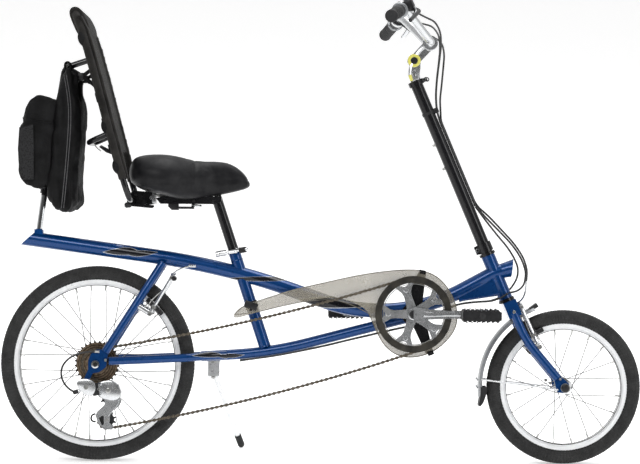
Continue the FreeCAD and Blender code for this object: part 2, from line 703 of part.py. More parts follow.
def drive():
    centre = (bracket_x, s.bracket_z)
    side = -s.chain_line
    ring = toothed(int(s.ring_teeth), 2, centre, side, 164)
    spider_arms = []
    tabs = []
    for k in range(5):
        angle = 180 - 72 * k
        arm = plate([(0, 14), (30, 11), (50, 10), (60, 12.5), (70, 19), (83.2, 27), (83.2, 15),
                     (76, 7), (74, 0), (76, -7), (83.2, -15), (83.2, -27), (70, -19), (60, -12.5),
                     (50, -10), (30, -11), (0, -14)], side - 7, 6)
        tab = plate([(58, 7), (70, 16), (82.5, 24), (82.5, 15), (74, 7), (71, 0), (74, -7),
                     (82.5, -15), (82.5, -24), (70, -16), (58, -7)], side - 1, 2)
        turn = Placement(Vector(), Rotation(Vector(0, 1, 0), -angle))
        for piece, group in ((arm, spider_arms), (tab, tabs)):
            piece.Placement = BRACKET.multiply(turn)
            group.append(piece)
    solid("chainring", fused([ring] + tabs))
    spider_disc = across(*centre, 162.4, side - 1, side - 7)
    arms = fused(spider_arms).common(spider_disc)
    hub_disc = across(*centre, 34, side + 7, side - 16)
    spindle = across(*centre, s.spindle_diameter, 46, -s.chain_line)
    arm = plate([(0, 19), (s.crank_length - 130, 13), (s.crank_length - 80, 10),
                 (s.crank_length - 20, 11), (s.crank_length, 12),
                 (s.crank_length + 11, 6), (s.crank_length + 11, -6), (s.crank_length, -12),
                 (s.crank_length - 20, -11), (s.crank_length - 80, -10),
                 (s.crank_length - 130, -13), (0, -19)], side - 21, 12)
    arm.Placement = BRACKET
    pedal_x = bracket_x + s.crank_length
    pin = across(pedal_x, s.bracket_z, 9, side - 20, side - 112)
    crank = fused([hub_disc, spindle, arm, pin, arms])
    solid("right_crank", crank)
    guard = across(*centre, 2 * s.ring_guard_radius, side - 4, side - 7)
    guard = guard.cut(across(*centre, 163, side - 1, side - 10))
    solid("ring_guard", guard)

    left = plate([(0, 19), (s.crank_length - 130, 13), (s.crank_length - 80, 10),
                 (s.crank_length - 20, 11), (s.crank_length, 12),
                  (s.crank_length + 11, 6), (s.crank_length + 11, -6), (s.crank_length, -12),
                  (s.crank_length - 20, -11), (s.crank_length - 80, -10),
                 (s.crank_length - 130, -13), (0, -19)], -side + 9, 12)
    left.Placement = Placement(Vector(bracket_x, 0, s.bracket_z), Rotation(Vector(0, 1, 0), 180))
    left_hub = across(*centre, 34, -side + 16, 46)
    left_pin = across(bracket_x - s.crank_length, s.bracket_z, 9, -side + 112, -side + 20)
    solid("left_crank", fused([left, left_hub, left_pin]))

    for name, x, near in (("right_pedal", pedal_x, side - 24),
                          ("left_pedal", bracket_x - s.crank_length, -side + 24 + 96)):
        far = near - 96
        corners = []
        for up in (1, -1):
            edge = [(x - 49, s.bracket_z + up * 10)]
            for i in range(8):
                start = x - 46 + i * 11.7
                edge += [(start, s.bracket_z + up * 15.5), (start + 6, s.bracket_z + up * 15.5),
                         (start + 7.5, s.bracket_z + up * 12.8), (start + 10.2, s.bracket_z + up * 12.8)]
            edge[-1] = (x + 49, s.bracket_z + up * 10)
            corners += edge if up == 1 else edge[::-1]
        body = plate(corners, far, 96)
        for dx in (-36, 12):
            window = plate([(x + dx, s.bracket_z - 20), (x + dx + 24, s.bracket_z - 20),
                            (x + dx + 24, s.bracket_z + 20), (x + dx, s.bracket_z + 20)],
                           far + 10, 76)
            body = body.cut(window)
        outside, inside = (far, near) if name == "right_pedal" else (near, far)
        inward = 1 if name == "right_pedal" else -1
        low, high = sorted((outside + 5 * inward, inside + inward))
        body = body.cut(across(x, s.bracket_z, 9 + 2 * s.running_clearance, high, low))
        solid(name, body)

    cogs = []
    for i, teeth in enumerate((14, 16, 18, 20, 22, 24, 28)):
        place = side - 10 + 5 * i
        cogs.append(toothed(teeth, 1.8, (0, s.rear_wheel_radius), place, 34 + 0.2, 2.4))
    sleeve = across(0, s.rear_wheel_radius, 44, side + 21, side - 11)
    sleeve = sleeve.cut(across(0, s.rear_wheel_radius, 34.2, side + 25, side - 15))
    solid("freewheel", fused(cogs + [sleeve]))

    pulleys = []
    for x, z, _ in chain_stops()[1:3]:
        pulleys.append(toothed(int(s.pulley_teeth), 2, (x, abs(z)), side, 5))
    solid("pulleys", Part.makeCompound(pulleys))
    low, guide = chain_stops()[1:3]
    axle = (0, s.rear_wheel_radius)
    cage = [
        plate(beside(axle, [(20, -89), (24, -78), (42, -74), (62, -83), (66, -95), (60, -108), (44, -121),
                            (37, -133), (35, -151), (46, -161), (42, -169), (21, -169), (6, -153),
                            (-1, -133), (4, -122), (24, -104)]), side - 6, 2),
        plate(beside(axle, [(24, -79), (42, -79), (38, -154), (18, -156)]), side + 4, 2),
    ]
    window = plate(beside(axle, [(8, -139), (16, -133), (20, -135), (21, -155), (16, -159)]), side - 7, 4)
    cage[0] = cage[0].cut(window)
    pins = [across(x, z, 4.9, side + 5, side - 5) for x, z, _ in (low, guide)]
    body = plate(beside(axle, [(6, -49), (24, -43), (42, -41), (60, -53), (67, -70), (64, -88), (46, -95),
                               (26, -91), (8, -83)]), side - 26, 20)
    knuckle = plate(beside(axle, [(-44, -43), (-27, -37), (-8, -40), (1, -50), (0, -70), (-8, -80),
                                  (-24, -78), (-37, -65), (-46, -53)]), side - 42, 14.7)
    link = plate(beside(axle, [(-16, -54), (14, -50), (14, -79), (-16, -77)]), side - 40, 22)
    bolt = across(-25, axle[1] - 44, 9.9, -s.rear_dropout_gap / 2 + 2, side - 42)
    barrel = rod(Vector(-49, -78, axle[1] - 71.5), Vector(-36, -78, axle[1] - 66), 9)
    solid("rear_derailleur", fused(cage + pins + [body, knuckle, link, bolt, barrel]))
    chain()


def guard():
    outline_top = [(-461.5, -5), (-442.5, 15), (-416.5, 25), (-374.5, 39), (-314.5, 59),
                   (-241.5, 76), (-138.5, 100), (-54.5, 112), (-14.5, 114), (16.5, 113),
                   (42.5, 106), (65.5, 93), (85.5, 72), (102.5, 43), (111.5, 17), (113.5, -14),
                   (107.5, -38), (92.5, -61), (69.5, -84), (40.5, -102), (0.5, -112), (-33.5, -109),
                   (-59.5, -95), (-80.5, -73), (-96.5, -40), (-114.5, 0), (-174.5, 35),
                   (-258.5, 35), (-344.5, 17), (-414.5, -2)]
    side = -s.chain_line + 8
    panel = curved_plate(beside((bracket_x, s.bracket_z), outline_top), side, 2)
    panel = panel.cut(across(bracket_x, s.bracket_z, 160, side + 5, side - 5))
    solid("chain_guard", biggest(panel, 1))
    ring = across(bracket_x, s.bracket_z, 60, side + 5, side + 2)
    x = bracket_x
    z = s.bracket_z
    arms = [
        plate([(x - 4, z + 20), (x - 16, z + 60), (x + 14, z + 110), (x + 32, z + 108),
               (x + 27, z + 60), (x + 22, z + 16)], side + 2, 3),
        plate([(x - 6, z - 20), (x + 34, z - 103), (x + 52, z - 96), (x + 38, z - 40),
               (x + 22, z - 8)], side + 2, 3),
    ]
    clips = [
        plate([(x + 16, z + 105), (x + 15, z + 115), (x + 31, z + 112), (x + 31, z + 102)], side - 3, 8),
        plate([(x + 36, z - 99), (x + 40, z - 108), (x + 55, z - 102), (x + 51, z - 92)], side - 3, 8),
    ]
    bracket = fused([ring] + arms + clips).cut(panel)
    bracket = bracket.cut(across(x, z, s.bracket_shell_diameter + 0.1, side + 9, side - 9))
    solid("guard_bracket", bracket)


# Steering, in the steering axis's own frame: X forward, Y left, Z up the axis


def brake_arm(low, high, root, pad, slope):
    """A rim brake's arm with its boss, its pad and the pad's stem."""
    side = 1 if low.y > 0 else -1
    block = Part.makeBox(50, 9, 11, Vector(-25, -4.5, -5.5))
    block.Placement = Placement(pad, Rotation(Vector(0, 1, 0), slope))
    stem = rod(pad, Vector(pad.x, low.y, pad.z), 7)
    tail = rod(high, high + Vector(0, -side * 8, 5), 9)
    return fused([rod(low, high, 9), rod(root, low, 14), block, stem, tail])


def steering():
    head_foot = s.head_tube_foot
    head_top = head_foot + s.head_tube_length
    riser_top = head_top + 8 + s.riser_height
    crown_low = s.front_wheel_radius + 18
    crown_high = head_foot - 8
    blade_side = 42
    drop_side = s.front_dropout_gap / 2 + 3
    fender_outer = s.front_wheel_radius + 23
    steerer = rod(Vector(0, 0, crown_high - 2), Vector(0, 0, head_top + 7), s.steerer_diameter)
    crown = Part.makeBox(34, 2 * blade_side + 16, crown_high - crown_low,
                         Vector(-14, -blade_side - 8, crown_low))
    blades = []
    for side in (1, -1):
        blade = tube([
            (Vector(3, side * blade_side, crown_low + 10), 0),
            (Vector(4, side * (blade_side + 2), 150), 260),
            (Vector(s.fork_rake - 8, side * drop_side, 30), 0),
        ], 23)
        tip = plate([(s.fork_rake - 16, 38), (s.fork_rake - 2, 40), (s.fork_rake + 14, 6),
                     (s.fork_rake + 8, -12), (s.fork_rake - 10, -10), (s.fork_rake - 22, -3),
                     (s.fork_rake - 22, 8)],
                    side * drop_side - 3, 6)
        tip = tip.cut(across(s.fork_rake, 0, s.axle_diameter + 0.1, 100, -100))
        blades += [blade, tip]
    seat_of_fender = across(s.fork_rake, 0, 2 * fender_outer + 0.1, 28.5, -28.5)
    fork = fused([steerer, crown.cut(seat_of_fender)] + blades)
    solid("fork", fork, STEER)

    upper = rod(Vector(0, 0, head_top + 0.3), Vector(0, 0, head_top + 7.5), 42)
    upper = upper.cut(rod(Vector(0, 0, head_top), Vector(0, 0, head_top + 8), s.steerer_diameter + 0.1))
    lower = rod(Vector(0, 0, crown_high + 0.1), Vector(0, 0, head_foot - 0.3), 42)
    lower = lower.cut(rod(Vector(0, 0, crown_high), Vector(0, 0, head_foot), s.steerer_diameter + 0.1))
    riser = rod(Vector(0, 0, head_top + 8), Vector(0, 0, riser_top), s.riser_diameter, 2)
    solid("riser", riser, STEER)
    clamps = []
    for low, high, lug_start, bolt_place in ((head_top + 10, head_top + 34, -26, -20),
                                             (riser_top - 13, riser_top + 0.1, 12, 22)):
        ring = rod(Vector(0, 0, low), Vector(0, 0, high), s.riser_diameter + 8)
        lug = Part.makeBox(18, 18, high - low - 2, Vector(lug_start, -9, low + 1))
        ring = ring.fuse(lug)
        bolt = across(bolt_place, (low + high) / 2, 8, 12, -12)
        ring = ring.fuse(bolt)
        clamps.append(ring.cut(rod(Vector(0, 0, low - 1), Vector(0, 0, high + 1),
                                   s.riser_diameter + 0.1)))
    solid("steering_collars", Part.makeCompound([upper, lower] + clamps), STEER)

    pivot = (17, riser_top + 49)
    clamp = (73, riser_top + 75)
    lower_arm = plate([(-12, riser_top + 0.3), (14, riser_top + 0.3), (pivot[0] + 11, pivot[1]),
                       (pivot[0] - 11, pivot[1])], -14, 28)
    upper_arm = plate([(pivot[0] - 4, pivot[1] + 13), (pivot[0] + 6, pivot[1] - 12),
                       (clamp[0] + 6, clamp[1] - 14), (clamp[0] - 6, clamp[1] + 12)], -11, 22)
    hub_bore = across(*pivot, 35, 60, -60)
    bar_ring = across(*clamp, 36, 22, -22)
    bar_hole = across(*clamp, 22.3, 60, -60)
    upper_stem = upper_arm.cut(hub_bore).fuse(bar_ring).cut(bar_hole)
    solid("stem", Part.makeCompound([lower_arm.cut(hub_bore), upper_stem]), STEER)
    solid("stem_hub", across(*pivot, 34.4, 20, -20), STEER)

    grip_in = Vector(clamp[0] - 34, 130, clamp[1] + 102)
    grip_out = Vector(clamp[0] - 82, 300, clamp[1] + 84)
    bar_half = [
        (Vector(clamp[0], 0, clamp[1]), 0),
        (Vector(clamp[0], 50, clamp[1]), 40),
        (grip_in, 45),
        (grip_out, 0),
    ]
    half_bar = tube(bar_half, 22.2)
    solid("handlebar", fused([half_bar, mirrored(half_bar)]), STEER)
    along = (grip_out - grip_in).normalize()
    grip = rod(grip_out - along * 112, grip_out + along * 3, 33)
    grip = grip.cut(rod(grip_in, grip_out, 22.3))
    solid("grips", Part.makeCompound([grip, mirrored(grip)]), STEER)
    collar_mid = grip_out - along * 134
    collar = rod(collar_mid - along * 18, collar_mid + along * 20, 34)
    blade = tube([
        (collar_mid + Vector(10, 0, -4), 0),
        (collar_mid + Vector(48, 8, -18), 25),
        (grip_out + Vector(40, -30, -26), 0),
    ], 10)
    control = collar.fuse(blade).cut(rod(grip_in - along * 40, grip_out, 22.3))
    solid("brake_levers", Part.makeCompound([control, mirrored(control)]), STEER)

    arms = []
    rim_height = s.front_wheel_radius - 43
    for side in (1, -1):
        arms.append(brake_arm(
            Vector(30, side * 41, rim_height - 34), Vector(27, side * 44, rim_height + 82),
            Vector(8, side * 42, rim_height - 28), Vector(30, side * 19.5, rim_height), -7).cut(fork))
    noodle = cable([(66.8, 0, rim_height + 133), (56.5, 3, rim_height + 111.5),
                    (42.4, 18, rim_height + 93.6), (27, 36, rim_height + 87.1)], 4.6)
    brakes = [biggest(arm, 1) for arm in arms]
    brakes[0] = fused([brakes[0], noodle])
    solid("front_brake", Part.makeCompound(brakes), STEER)

    section = Part.Face(Part.makePolygon([Vector(fender_outer - drop, side, 0) for drop, side in (
        (0, 9), (3, 20), (10, 28), (11, 26), (5, 18.5), (2.2, 8), (2.2, -8), (5, -18.5), (11, -26),
        (10, -28), (3, -20), (0, -9), (0, 9))]))
    bow = section.revolve(Vector(0, 0, 0), Vector(0, 1, 0), 76)
    bow.Placement = Placement(Vector(s.fork_rake, 0, 0), Rotation(Vector(0, 1, 0), -187 + steer_tilt))
    solid("front_fender", bow, STEER)
    axle = (s.wheelbase, s.front_wheel_radius)
    flap = plate(beside(axle, [(-215, -1), (-211, -1), (-209, -14), (-211, -30), (-216, -50),
                               (-220, -50), (-216, -27), (-215, -13)]), -30.3, 60.6)
    wing_corners = beside(axle, [(-214, -1), (-198, 0), (-199, -16), (-207, -40), (-214, -50),
                                 (-218, -50), (-215, -27)])
    wings = [plate(wing_corners, side, 2) for side in (-30.3, 28.3)]
    flap = fused([flap] + wings).cut(upright_bow(bow))
    nose = plate(beside(axle, [(-98, 197), (-93, 190), (-66, 208), (-72, 216)]), -20, 40)
    nose = nose.cut(upright_bow(bow))
    solid("fender_flap", Part.makeCompound([biggest(flap, 1), biggest(nose, 1)]))
    stays = []
    turn = math.radians(175 - steer_tilt)
    hold = fender_outer - 8
    for side in (1, -1):
        start = Vector(s.fork_rake + hold * math.cos(turn), side * 30.2, hold * math.sin(turn))
        stays.append(rod(start, Vector(s.fork_rake - 18, side * (drop_side + 6.2), 3), 4))
    solid("fender_stays", Part.makeCompound(stays), STEER)


def upright_bow(bow):
    """The fender as the upright bicycle has it."""
    shape = bow.copy()
    shape.Placement = STEER.multiply(bow.Placement)
    return shape


# Stand


def stand(lower_solid, left_stay):
    pivot = Vector(299, 46, 224)
    down = Vector(0.3, 0.45, -0.84).normalize()
    back = Vector(-0.995, 0.1, 0).normalize()
    axis = down.cross(back).normalize()
    ground = Rotation(Vector(1, 0, 0), -s.lean_angle).multVec

    def height(point):
        return ground(point).z + crown_drop

    reach = (height(pivot) - s.stand_foot_radius) / -ground(down).z
    foot = pivot + down * reach
    eye = Part.makeCylinder(13, 12, pivot - axis * 6, axis)
    leg = rod(pivot + down * 6, foot, s.stand_rod)
    bore = Part.makeCylinder(4 + s.running_clearance, 40, pivot - axis * 20, axis)
    solid("stand_leg", fused([eye, leg]).cut(bore).cut(Part.makeSphere(s.stand_foot_radius, foot)))
    sole = Part.makeSphere(s.stand_foot_radius, foot).fuse(
        rod(foot - down * 30, foot, 2 * s.stand_foot_radius))
    sole = sole.cut(rod(pivot, foot, s.stand_rod + 0.02))
    solid("stand_foot", sole)
    pin = Part.makeCylinder(4, 28, pivot - axis * 14, axis)
    cheeks = []
    for start in (-13, 8):
        cheek = Part.makeCylinder(12, 5, pivot + axis * start, axis)
        cheeks.append(cheek)
    hanger = Part.makeBox(30, 8, 46, Vector(284, 24, 218))
    hanger = hanger.fuse(Part.makeBox(34, 30, 6, Vector(282, 12, 256)))
    solid("stand_bracket", fused([pin] + cheeks + [hanger]).cut(left_stay).cut(lower_solid))
    return pivot, axis, math.degrees(down.getAngle(back))


# Brake and gear cables


def cable(points, diameter=5.0):
    """A housing along hand-chosen points, each corner an arc as large as its runs allow."""
    stops = [(Vector(*points[0]), 0)]
    for before, now, after in zip(points, points[1:], points[2:]):
        come = Vector(*now) - Vector(*before)
        go = Vector(*after) - Vector(*now)
        half = come.getAngle(go) / 2
        radius = 0.45 * min(come.Length, go.Length) / math.tan(half)
        stops.append((Vector(*now), radius))
    stops.append((Vector(*points[-1]), 0))
    print("bend radii", [round(radius) for _, radius in stops[1:-1]])
    return tube(stops, diameter)


def cables(main_solid):
    arms = []
    reach = (s.rear_wheel_radius - 43) / math.sqrt(2)
    pad = Vector(reach, 0, s.rear_wheel_radius + reach)
    for side in (1, -1):
        arms.append(brake_arm(
            pad + Vector(-10, side * 49, -17), pad + Vector(46, side * 46, 79),
            pad + Vector(-41, side * 48, 2), pad + Vector(0, side * 19.5, 0), 45))
    noodle = cable([(193, -38, 482), (203, -33, 491), (218, -28, 499), (240, -22.5, 504)], 4)
    ferrule = rod(Vector(234, -23.5, 504), Vector(252, -19.5, 503.6), 7).cut(main_solid)
    arms[1] = fused([arms[1], noodle, biggest(ferrule, 1)])
    brake = Part.makeCompound(arms).cut(stays_room())
    solid("rear_brake", biggest(brake, 2))

    gear = [(x, y, s.rear_wheel_radius + z) for x, y, z in (
        (4, -73, 32), (-16, -73, 32), (-42, -75, 28), (-66, -77, 17), (-84, -79, -3), (-88, -80, -27),
        (-80, -80, -49), (-66, -79, -64), (-51, -78, -72.4))]
    head = steer_point(0, 0, s.head_tube_foot + s.head_tube_length / 2)
    frame_run = [(head.x + x, y, head.z + z) for x, y, z in (
        (27, -26, -42), (9, -22, -54), (-15, -14, -63), (-51, -9, -65), (-101, -9, -71))]
    frame_run += [(bracket_x + 57.5, -9, s.bracket_z - 1), (bracket_x + 13.5, -9, s.bracket_z - 28)]
    tube_start = (448, 282)
    run = (bracket_x - tube_start[0], s.bracket_z - 7 - tube_start[1])
    for share, drop in ((0.8786, 21.3), (0.712, 20.4), (0.551, 18.9), (0.382, 18.7), (0.2046, 15.6),
                        (0.0273, 11.6)):
        frame_run.append((tube_start[0] + share * run[0], -9, tube_start[1] + share * run[1] - drop))
    frame_run += [(394, -9, 264), (368, -9, 260)]
    solid("frame_cables", Part.makeCompound([
        cable(gear), cable(frame_run), mirrored(cable(frame_run))]))
    bar_runs = []
    beside_riser = s.riser_diameter / 2 + 3.2
    for side in (1, -1):
        bar_runs.append(cable([
            (789.2, side * 157, 1165), (801, side * 138, 1161), (818, side * 118, 1152),
            (838, side * 98, 1144),
            (862, side * 74, 1136), (878, side * 46, 1112), (881, side * 28, 1078),
            (877, side * 14, 1038), (872, side * 8, 996), (869, side * 6.5, 950),
            (872, side * 6.5, 912), tuple(steer_point(beside_riser, side * 6.5, 758)),
            tuple(steer_point(beside_riser, side * 6.5, 519))]))
    bar_runs.append(cable([
        (782.4, 151, 1147), (798, 136, 1134), (812, 116, 1122), (834, 94, 1113), (864, 70, 1108),
        (886, 46, 1092),
        (892, 24, 1060), (888, 6, 1020), (884, 0, 975), (880, 0, 940), (882, 0, 908),
        tuple(steer_point(beside_riser + 3, 0, 758)), tuple(steer_point(beside_riser + 3, 0, 519)),
        (1008, 0, 640), (1043, 0, 603),
        (1076, 0, 568), (1100, 0, 532), (1110, 0, 500), (1108, 0, 472)]))
    solid("bar_cables", Part.makeCompound(bar_runs))
    left_crossing = [
        tuple(steer_point(beside_riser, 6.5, 518.2)),
        (1006, 9, 622), (1034, 13, 588), (1060, 17, 558), (1078, 21, 530),
        (1088, 24, 506), (1087, 25, 482), (1076, 27, 460), (1060, 26.2, 441.6)]
    right_crossing = [
        tuple(steer_point(beside_riser, -6.5, 518.2)),
        (1008, -9, 628), (1042, -13, 594), (1072, -17, 562), (1094, -21, 528),
        (1105, -24, 494), (1100, -26, 462), (1083, -27.5, 446), (1060, -26.2, 441.6)]
    solid("steering_cables", Part.makeCompound([cable(left_crossing), cable(right_crossing)]))


def stays_room():
    """The space of the two seat stays, which their brake bosses meet."""
    stay = tube([
        (Vector(24, 69, s.rear_wheel_radius + 31), 0),
        (Vector(168, s.main_tube_diameter / 2 + s.stay_diameter / 2 + 0.3, 512), 0),
    ], s.stay_diameter)
    return stay.fuse(mirrored(stay))


def export():
    doc.recompute()
    for obj in doc.Objects:
        if {"Invalid", "Error"} & set(obj.State):
            raise RuntimeError(f"{obj.Label} failed: {obj.State}")
    box = FreeCAD.BoundBox()
    for obj in parts.values():
        box.add(obj.Shape.BoundBox)
    shift = Placement(Vector(-box.Center.x, -box.Center.y, -box.ZMin), Rotation())
    for label, obj in parts.items():
        obj.Placement = shift.multiply(obj.Placement)
    doc.recompute()
    os.makedirs("parts", exist_ok=True)
    for label, obj in parts.items():
        shape = obj.Shape
        if shape.isNull() or not shape.isValid() or shape.Volume <= 0:
            raise RuntimeError(f"{label} has no valid solid")
        shape.exportStep(f"parts/{label}.step")
    print(f"{len(parts)} pieces, {box.XLength:.0f} x {box.YLength:.0f} x {box.ZLength:.0f} mm")
    print("origin moved by", shift.Base)
    return shift


rear_wheel()
front_wheel()
main_solid, lower_solid, left_stay, seat_top, down = frame_tubes()
seat(main_solid, seat_top, down)
drive()
guard()
steering()
stand_pivot, stand_axis, stand_travel = stand(lower_solid, left_stay)
cables(main_solid)
origin_shift = export()
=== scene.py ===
import json
import math

import bpy
from mathutils import Matrix, Vector, noise


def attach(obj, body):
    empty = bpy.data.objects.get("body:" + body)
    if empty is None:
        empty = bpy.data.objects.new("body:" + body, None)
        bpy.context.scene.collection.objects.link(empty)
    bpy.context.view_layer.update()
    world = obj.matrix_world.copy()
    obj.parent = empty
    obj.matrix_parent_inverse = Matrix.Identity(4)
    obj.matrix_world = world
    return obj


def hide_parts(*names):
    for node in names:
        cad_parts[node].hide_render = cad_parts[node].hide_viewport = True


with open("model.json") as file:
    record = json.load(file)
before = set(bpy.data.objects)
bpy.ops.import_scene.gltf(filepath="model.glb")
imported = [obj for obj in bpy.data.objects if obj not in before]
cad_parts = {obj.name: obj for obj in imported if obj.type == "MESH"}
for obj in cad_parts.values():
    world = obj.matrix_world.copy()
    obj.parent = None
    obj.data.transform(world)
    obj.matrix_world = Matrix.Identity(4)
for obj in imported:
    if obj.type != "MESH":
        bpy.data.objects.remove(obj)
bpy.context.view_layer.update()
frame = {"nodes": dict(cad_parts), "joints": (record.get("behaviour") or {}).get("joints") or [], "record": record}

MM = 0.001
ORIGIN = (0, 0, 0)
UP = (0, 0, 1)
LEFT = (0, 1, 0)
RIGHT = (0, -1, 0)
SIDES = (1, -1)

# The bicycle leans on its stand, so its own upright lengths are turned about
# the ground line and moved to where the rear axle is.
LEAN = math.radians(8.5)
REAR_RADIUS = 251
FRONT_RADIUS = 199
WHEELBASE = 1205
joints = {joint["name"]: joint for joint in frame["joints"]}
lean_turn = Matrix.Rotation(-LEAN, 4, "X")
ground_spot = Vector(joints["rear_wheel_spin"]["pos_m"]) - lean_turn @ Vector((0, 0, REAR_RADIUS * MM))
UPRIGHT = Matrix.Translation(ground_spot) @ lean_turn
TO_UPRIGHT = UPRIGHT.inverted()

# The steering axis leans back: its own frame has X forward and Z up the post.
HEAD_ANGLE = math.radians(66.9)
steer_foot = Matrix.Translation(TO_UPRIGHT @ Vector(joints["steering"]["pos_m"]))
STEERING = UPRIGHT @ steer_foot @ Matrix.Rotation(HEAD_ANGLE - math.pi / 2, 4, "Y")


# Camera, floor and light.

def set_camera():
    """A long lens square to the bicycle's plane, as in the photograph."""
    distance = 6.5
    width_seen = 1.6576
    sensor_width = 36
    roll = 0.00838
    aim = Vector((0.5723, 0, 0.5945))
    right = Vector((1, 0, roll)).normalized()
    up = Vector((-roll, 0, 1)).normalized()
    back = Vector(RIGHT)
    turn = Matrix((right, up, back)).transposed().to_4x4()
    data = bpy.data.cameras.new("camera")
    data.sensor_width = sensor_width
    data.lens = sensor_width * distance / width_seen
    data.clip_start = 0.1
    data.clip_end = 100
    camera = bpy.data.objects.new("camera", data)
    bpy.context.collection.objects.link(camera)
    camera.matrix_world = UPRIGHT @ Matrix.Translation(aim + back * distance) @ turn
    bpy.context.scene.camera = camera


def clear_selection():
    if bpy.context.mode != "OBJECT":
        bpy.ops.object.mode_set(mode="OBJECT")
    bpy.ops.object.select_all(action="DESELECT")


def pick(piece):
    """Selects one object alone and makes it the active one."""
    clear_selection()
    piece.select_set(True)
    bpy.context.view_layer.objects.active = piece


def edit_mode(kind="VERT"):
    bpy.ops.object.mode_set(mode="EDIT")
    bpy.ops.mesh.select_mode(type=kind)
    bpy.ops.mesh.select_all(action="SELECT")


def new_material(name, **sockets):
    """A material with sockets of its shader set; an underscore stands for a space."""
    material = bpy.data.materials.new(name)
    material.use_nodes = True
    for socket, value in sockets.items():
        shader_of(material).inputs[socket.replace("_", " ")].default_value = value
    return material


def shader_of(material):
    return material.node_tree.nodes["Principled BSDF"]


def lay_floor():
    """A wide pale floor that rises softly far behind the bicycle."""
    length, cuts = 30, 30
    rise_starts, rise = 5, 0.06
    clear_selection()
    bpy.ops.mesh.primitive_plane_add(size=length, location=(0, 0, -0.5 * MM))
    floor = bpy.context.object
    floor.name = "studio_floor"
    edit_mode()
    bpy.ops.mesh.subdivide(number_cuts=cuts)
    bpy.ops.object.mode_set(mode="OBJECT")
    for vertex in floor.data.vertices:
        vertex.co.z += rise * max(0.0, vertex.co.y - rise_starts) ** 2
    bpy.ops.object.shade_smooth()
    floor.data.materials.append(new_material(
        "pale_floor", Base_Color=(0.9, 0.9, 0.9, 1), Roughness=0.9,
        Emission_Color=(1, 1, 1, 1), Emission_Strength=0.45))


def soft_light(name, spot, size, power):
    """A wide lamp aimed at the bicycle's middle."""
    data = bpy.data.lights.new(name, "AREA")
    data.shape = "RECTANGLE"
    data.size, data.size_y = size
    data.energy = power
    lamp = bpy.data.objects.new(name, data)
    bpy.context.collection.objects.link(lamp)
    lamp.location = spot
    lamp.rotation_euler = (Vector((0, 0, 0.5)) - Vector(spot)).to_track_quat("-Z", "Y").to_euler()


def set_lights():
    """White light all round, dim on the camera's side, and three soft lamps."""
    world = bpy.data.worlds.new("studio")
    world.use_nodes = True
    tree = world.node_tree
    background = tree.nodes["Background"]
    background.inputs["Color"].default_value = (1, 1, 1, 1)
    heading = node(tree, "TexCoord")
    glow = node(tree, "MapRange", From_Min=-0.6, From_Max=0.3, To_Min=0.12, To_Max=1.0)
    feed(tree, parted(tree, heading.outputs["Generated"])["Y"], glow.inputs["Value"])
    feed(tree, glow.outputs["Result"], background.inputs["Strength"])
    bpy.context.scene.world = world
    soft_light("key_light", (-1.5, -3.5, 3.6), (2.5, 1.5), 95)
    soft_light("top_light", (0.5, 0.6, 4.0), (3.0, 1.6), 90)
    soft_light("fill_light", (3.2, -2.6, 1.6), (1.2, 2.4), 45)


# Nodes of a material.

def node(tree, kind, **settings):
    """A new node; each setting is a property of it, or a socket by its name."""
    made = tree.nodes.new("ShaderNode" + kind)
    for key, value in settings.items():
        if hasattr(made, key):
            setattr(made, key, value)
        else:
            made.inputs[key.replace("_", " ")].default_value = value
    return made


def feed(tree, value, socket):
    """Links another node's socket to this one, or sets a number or colour on it."""
    if isinstance(value, bpy.types.NodeSocket):
        tree.links.new(value, socket)
    else:
        socket.default_value = value


def worked_out(tree, operation, *values):
    """The result of a sum on sockets and numbers."""
    sum_node = node(tree, "Math", operation=operation)
    for value, socket in zip(values, sum_node.inputs):
        feed(tree, value, socket)
    return sum_node.outputs["Value"]


def parted(tree, place):
    axes = node(tree, "SeparateXYZ")
    feed(tree, place, axes.inputs["Vector"])
    return axes.outputs


def own_place(tree):
    """Lengths on the upright bicycle, in metres, from the piece's own coordinates."""
    where = node(tree, "TexCoord")
    turn = node(tree, "Mapping", Rotation=TO_UPRIGHT.to_euler(), Location=TO_UPRIGHT.to_translation())
    feed(tree, where.outputs["Object"], turn.inputs["Vector"])
    return turn.outputs["Vector"]


def texture(tree, kind, place=None, **settings):
    """A texture's first output, on the piece's own place unless another is given."""
    made = node(tree, "Tex" + kind, **settings)
    feed(tree, place or own_place(tree), made.inputs["Vector"])
    return made.outputs[0]


def colours_by(tree, value, stops, interpolation="LINEAR"):
    """A colour that follows a value; each stop is a position and a colour."""
    ramp = node(tree, "ValToRGB")
    ramp.color_ramp.interpolation = interpolation
    elements = ramp.color_ramp.elements
    for element, (position, colour) in zip(elements, (stops[0], stops[-1])):
        element.position = position
        element.color = (*colour, 1)
    for position, colour in stops[1:-1]:
        elements.new(position).color = (*colour, 1)
    feed(tree, value, ramp.inputs["Fac"])
    return ramp.outputs["Color"]


def mixed_in(material, factor, colour, blend_type="MIX"):
    """Mixes another colour into the one that the finish has."""
    tree = material.node_tree
    base = shader_of(material).inputs["Base Color"]
    mix = node(tree, "Mix", data_type="RGBA", blend_type=blend_type)
    feed(tree, factor, mix.inputs["Factor"])
    feed(tree, base.links[0].from_socket, mix.inputs["A"])
    feed(tree, colour, mix.inputs["B"])
    feed(tree, mix.outputs["Result"], base)


def raised(tree, height, strength, depth):
    """Relief from a height; depth in metres."""
    bump = node(tree, "Bump", Strength=strength, Distance=depth)
    feed(tree, height, bump.inputs["Height"])
    return bump


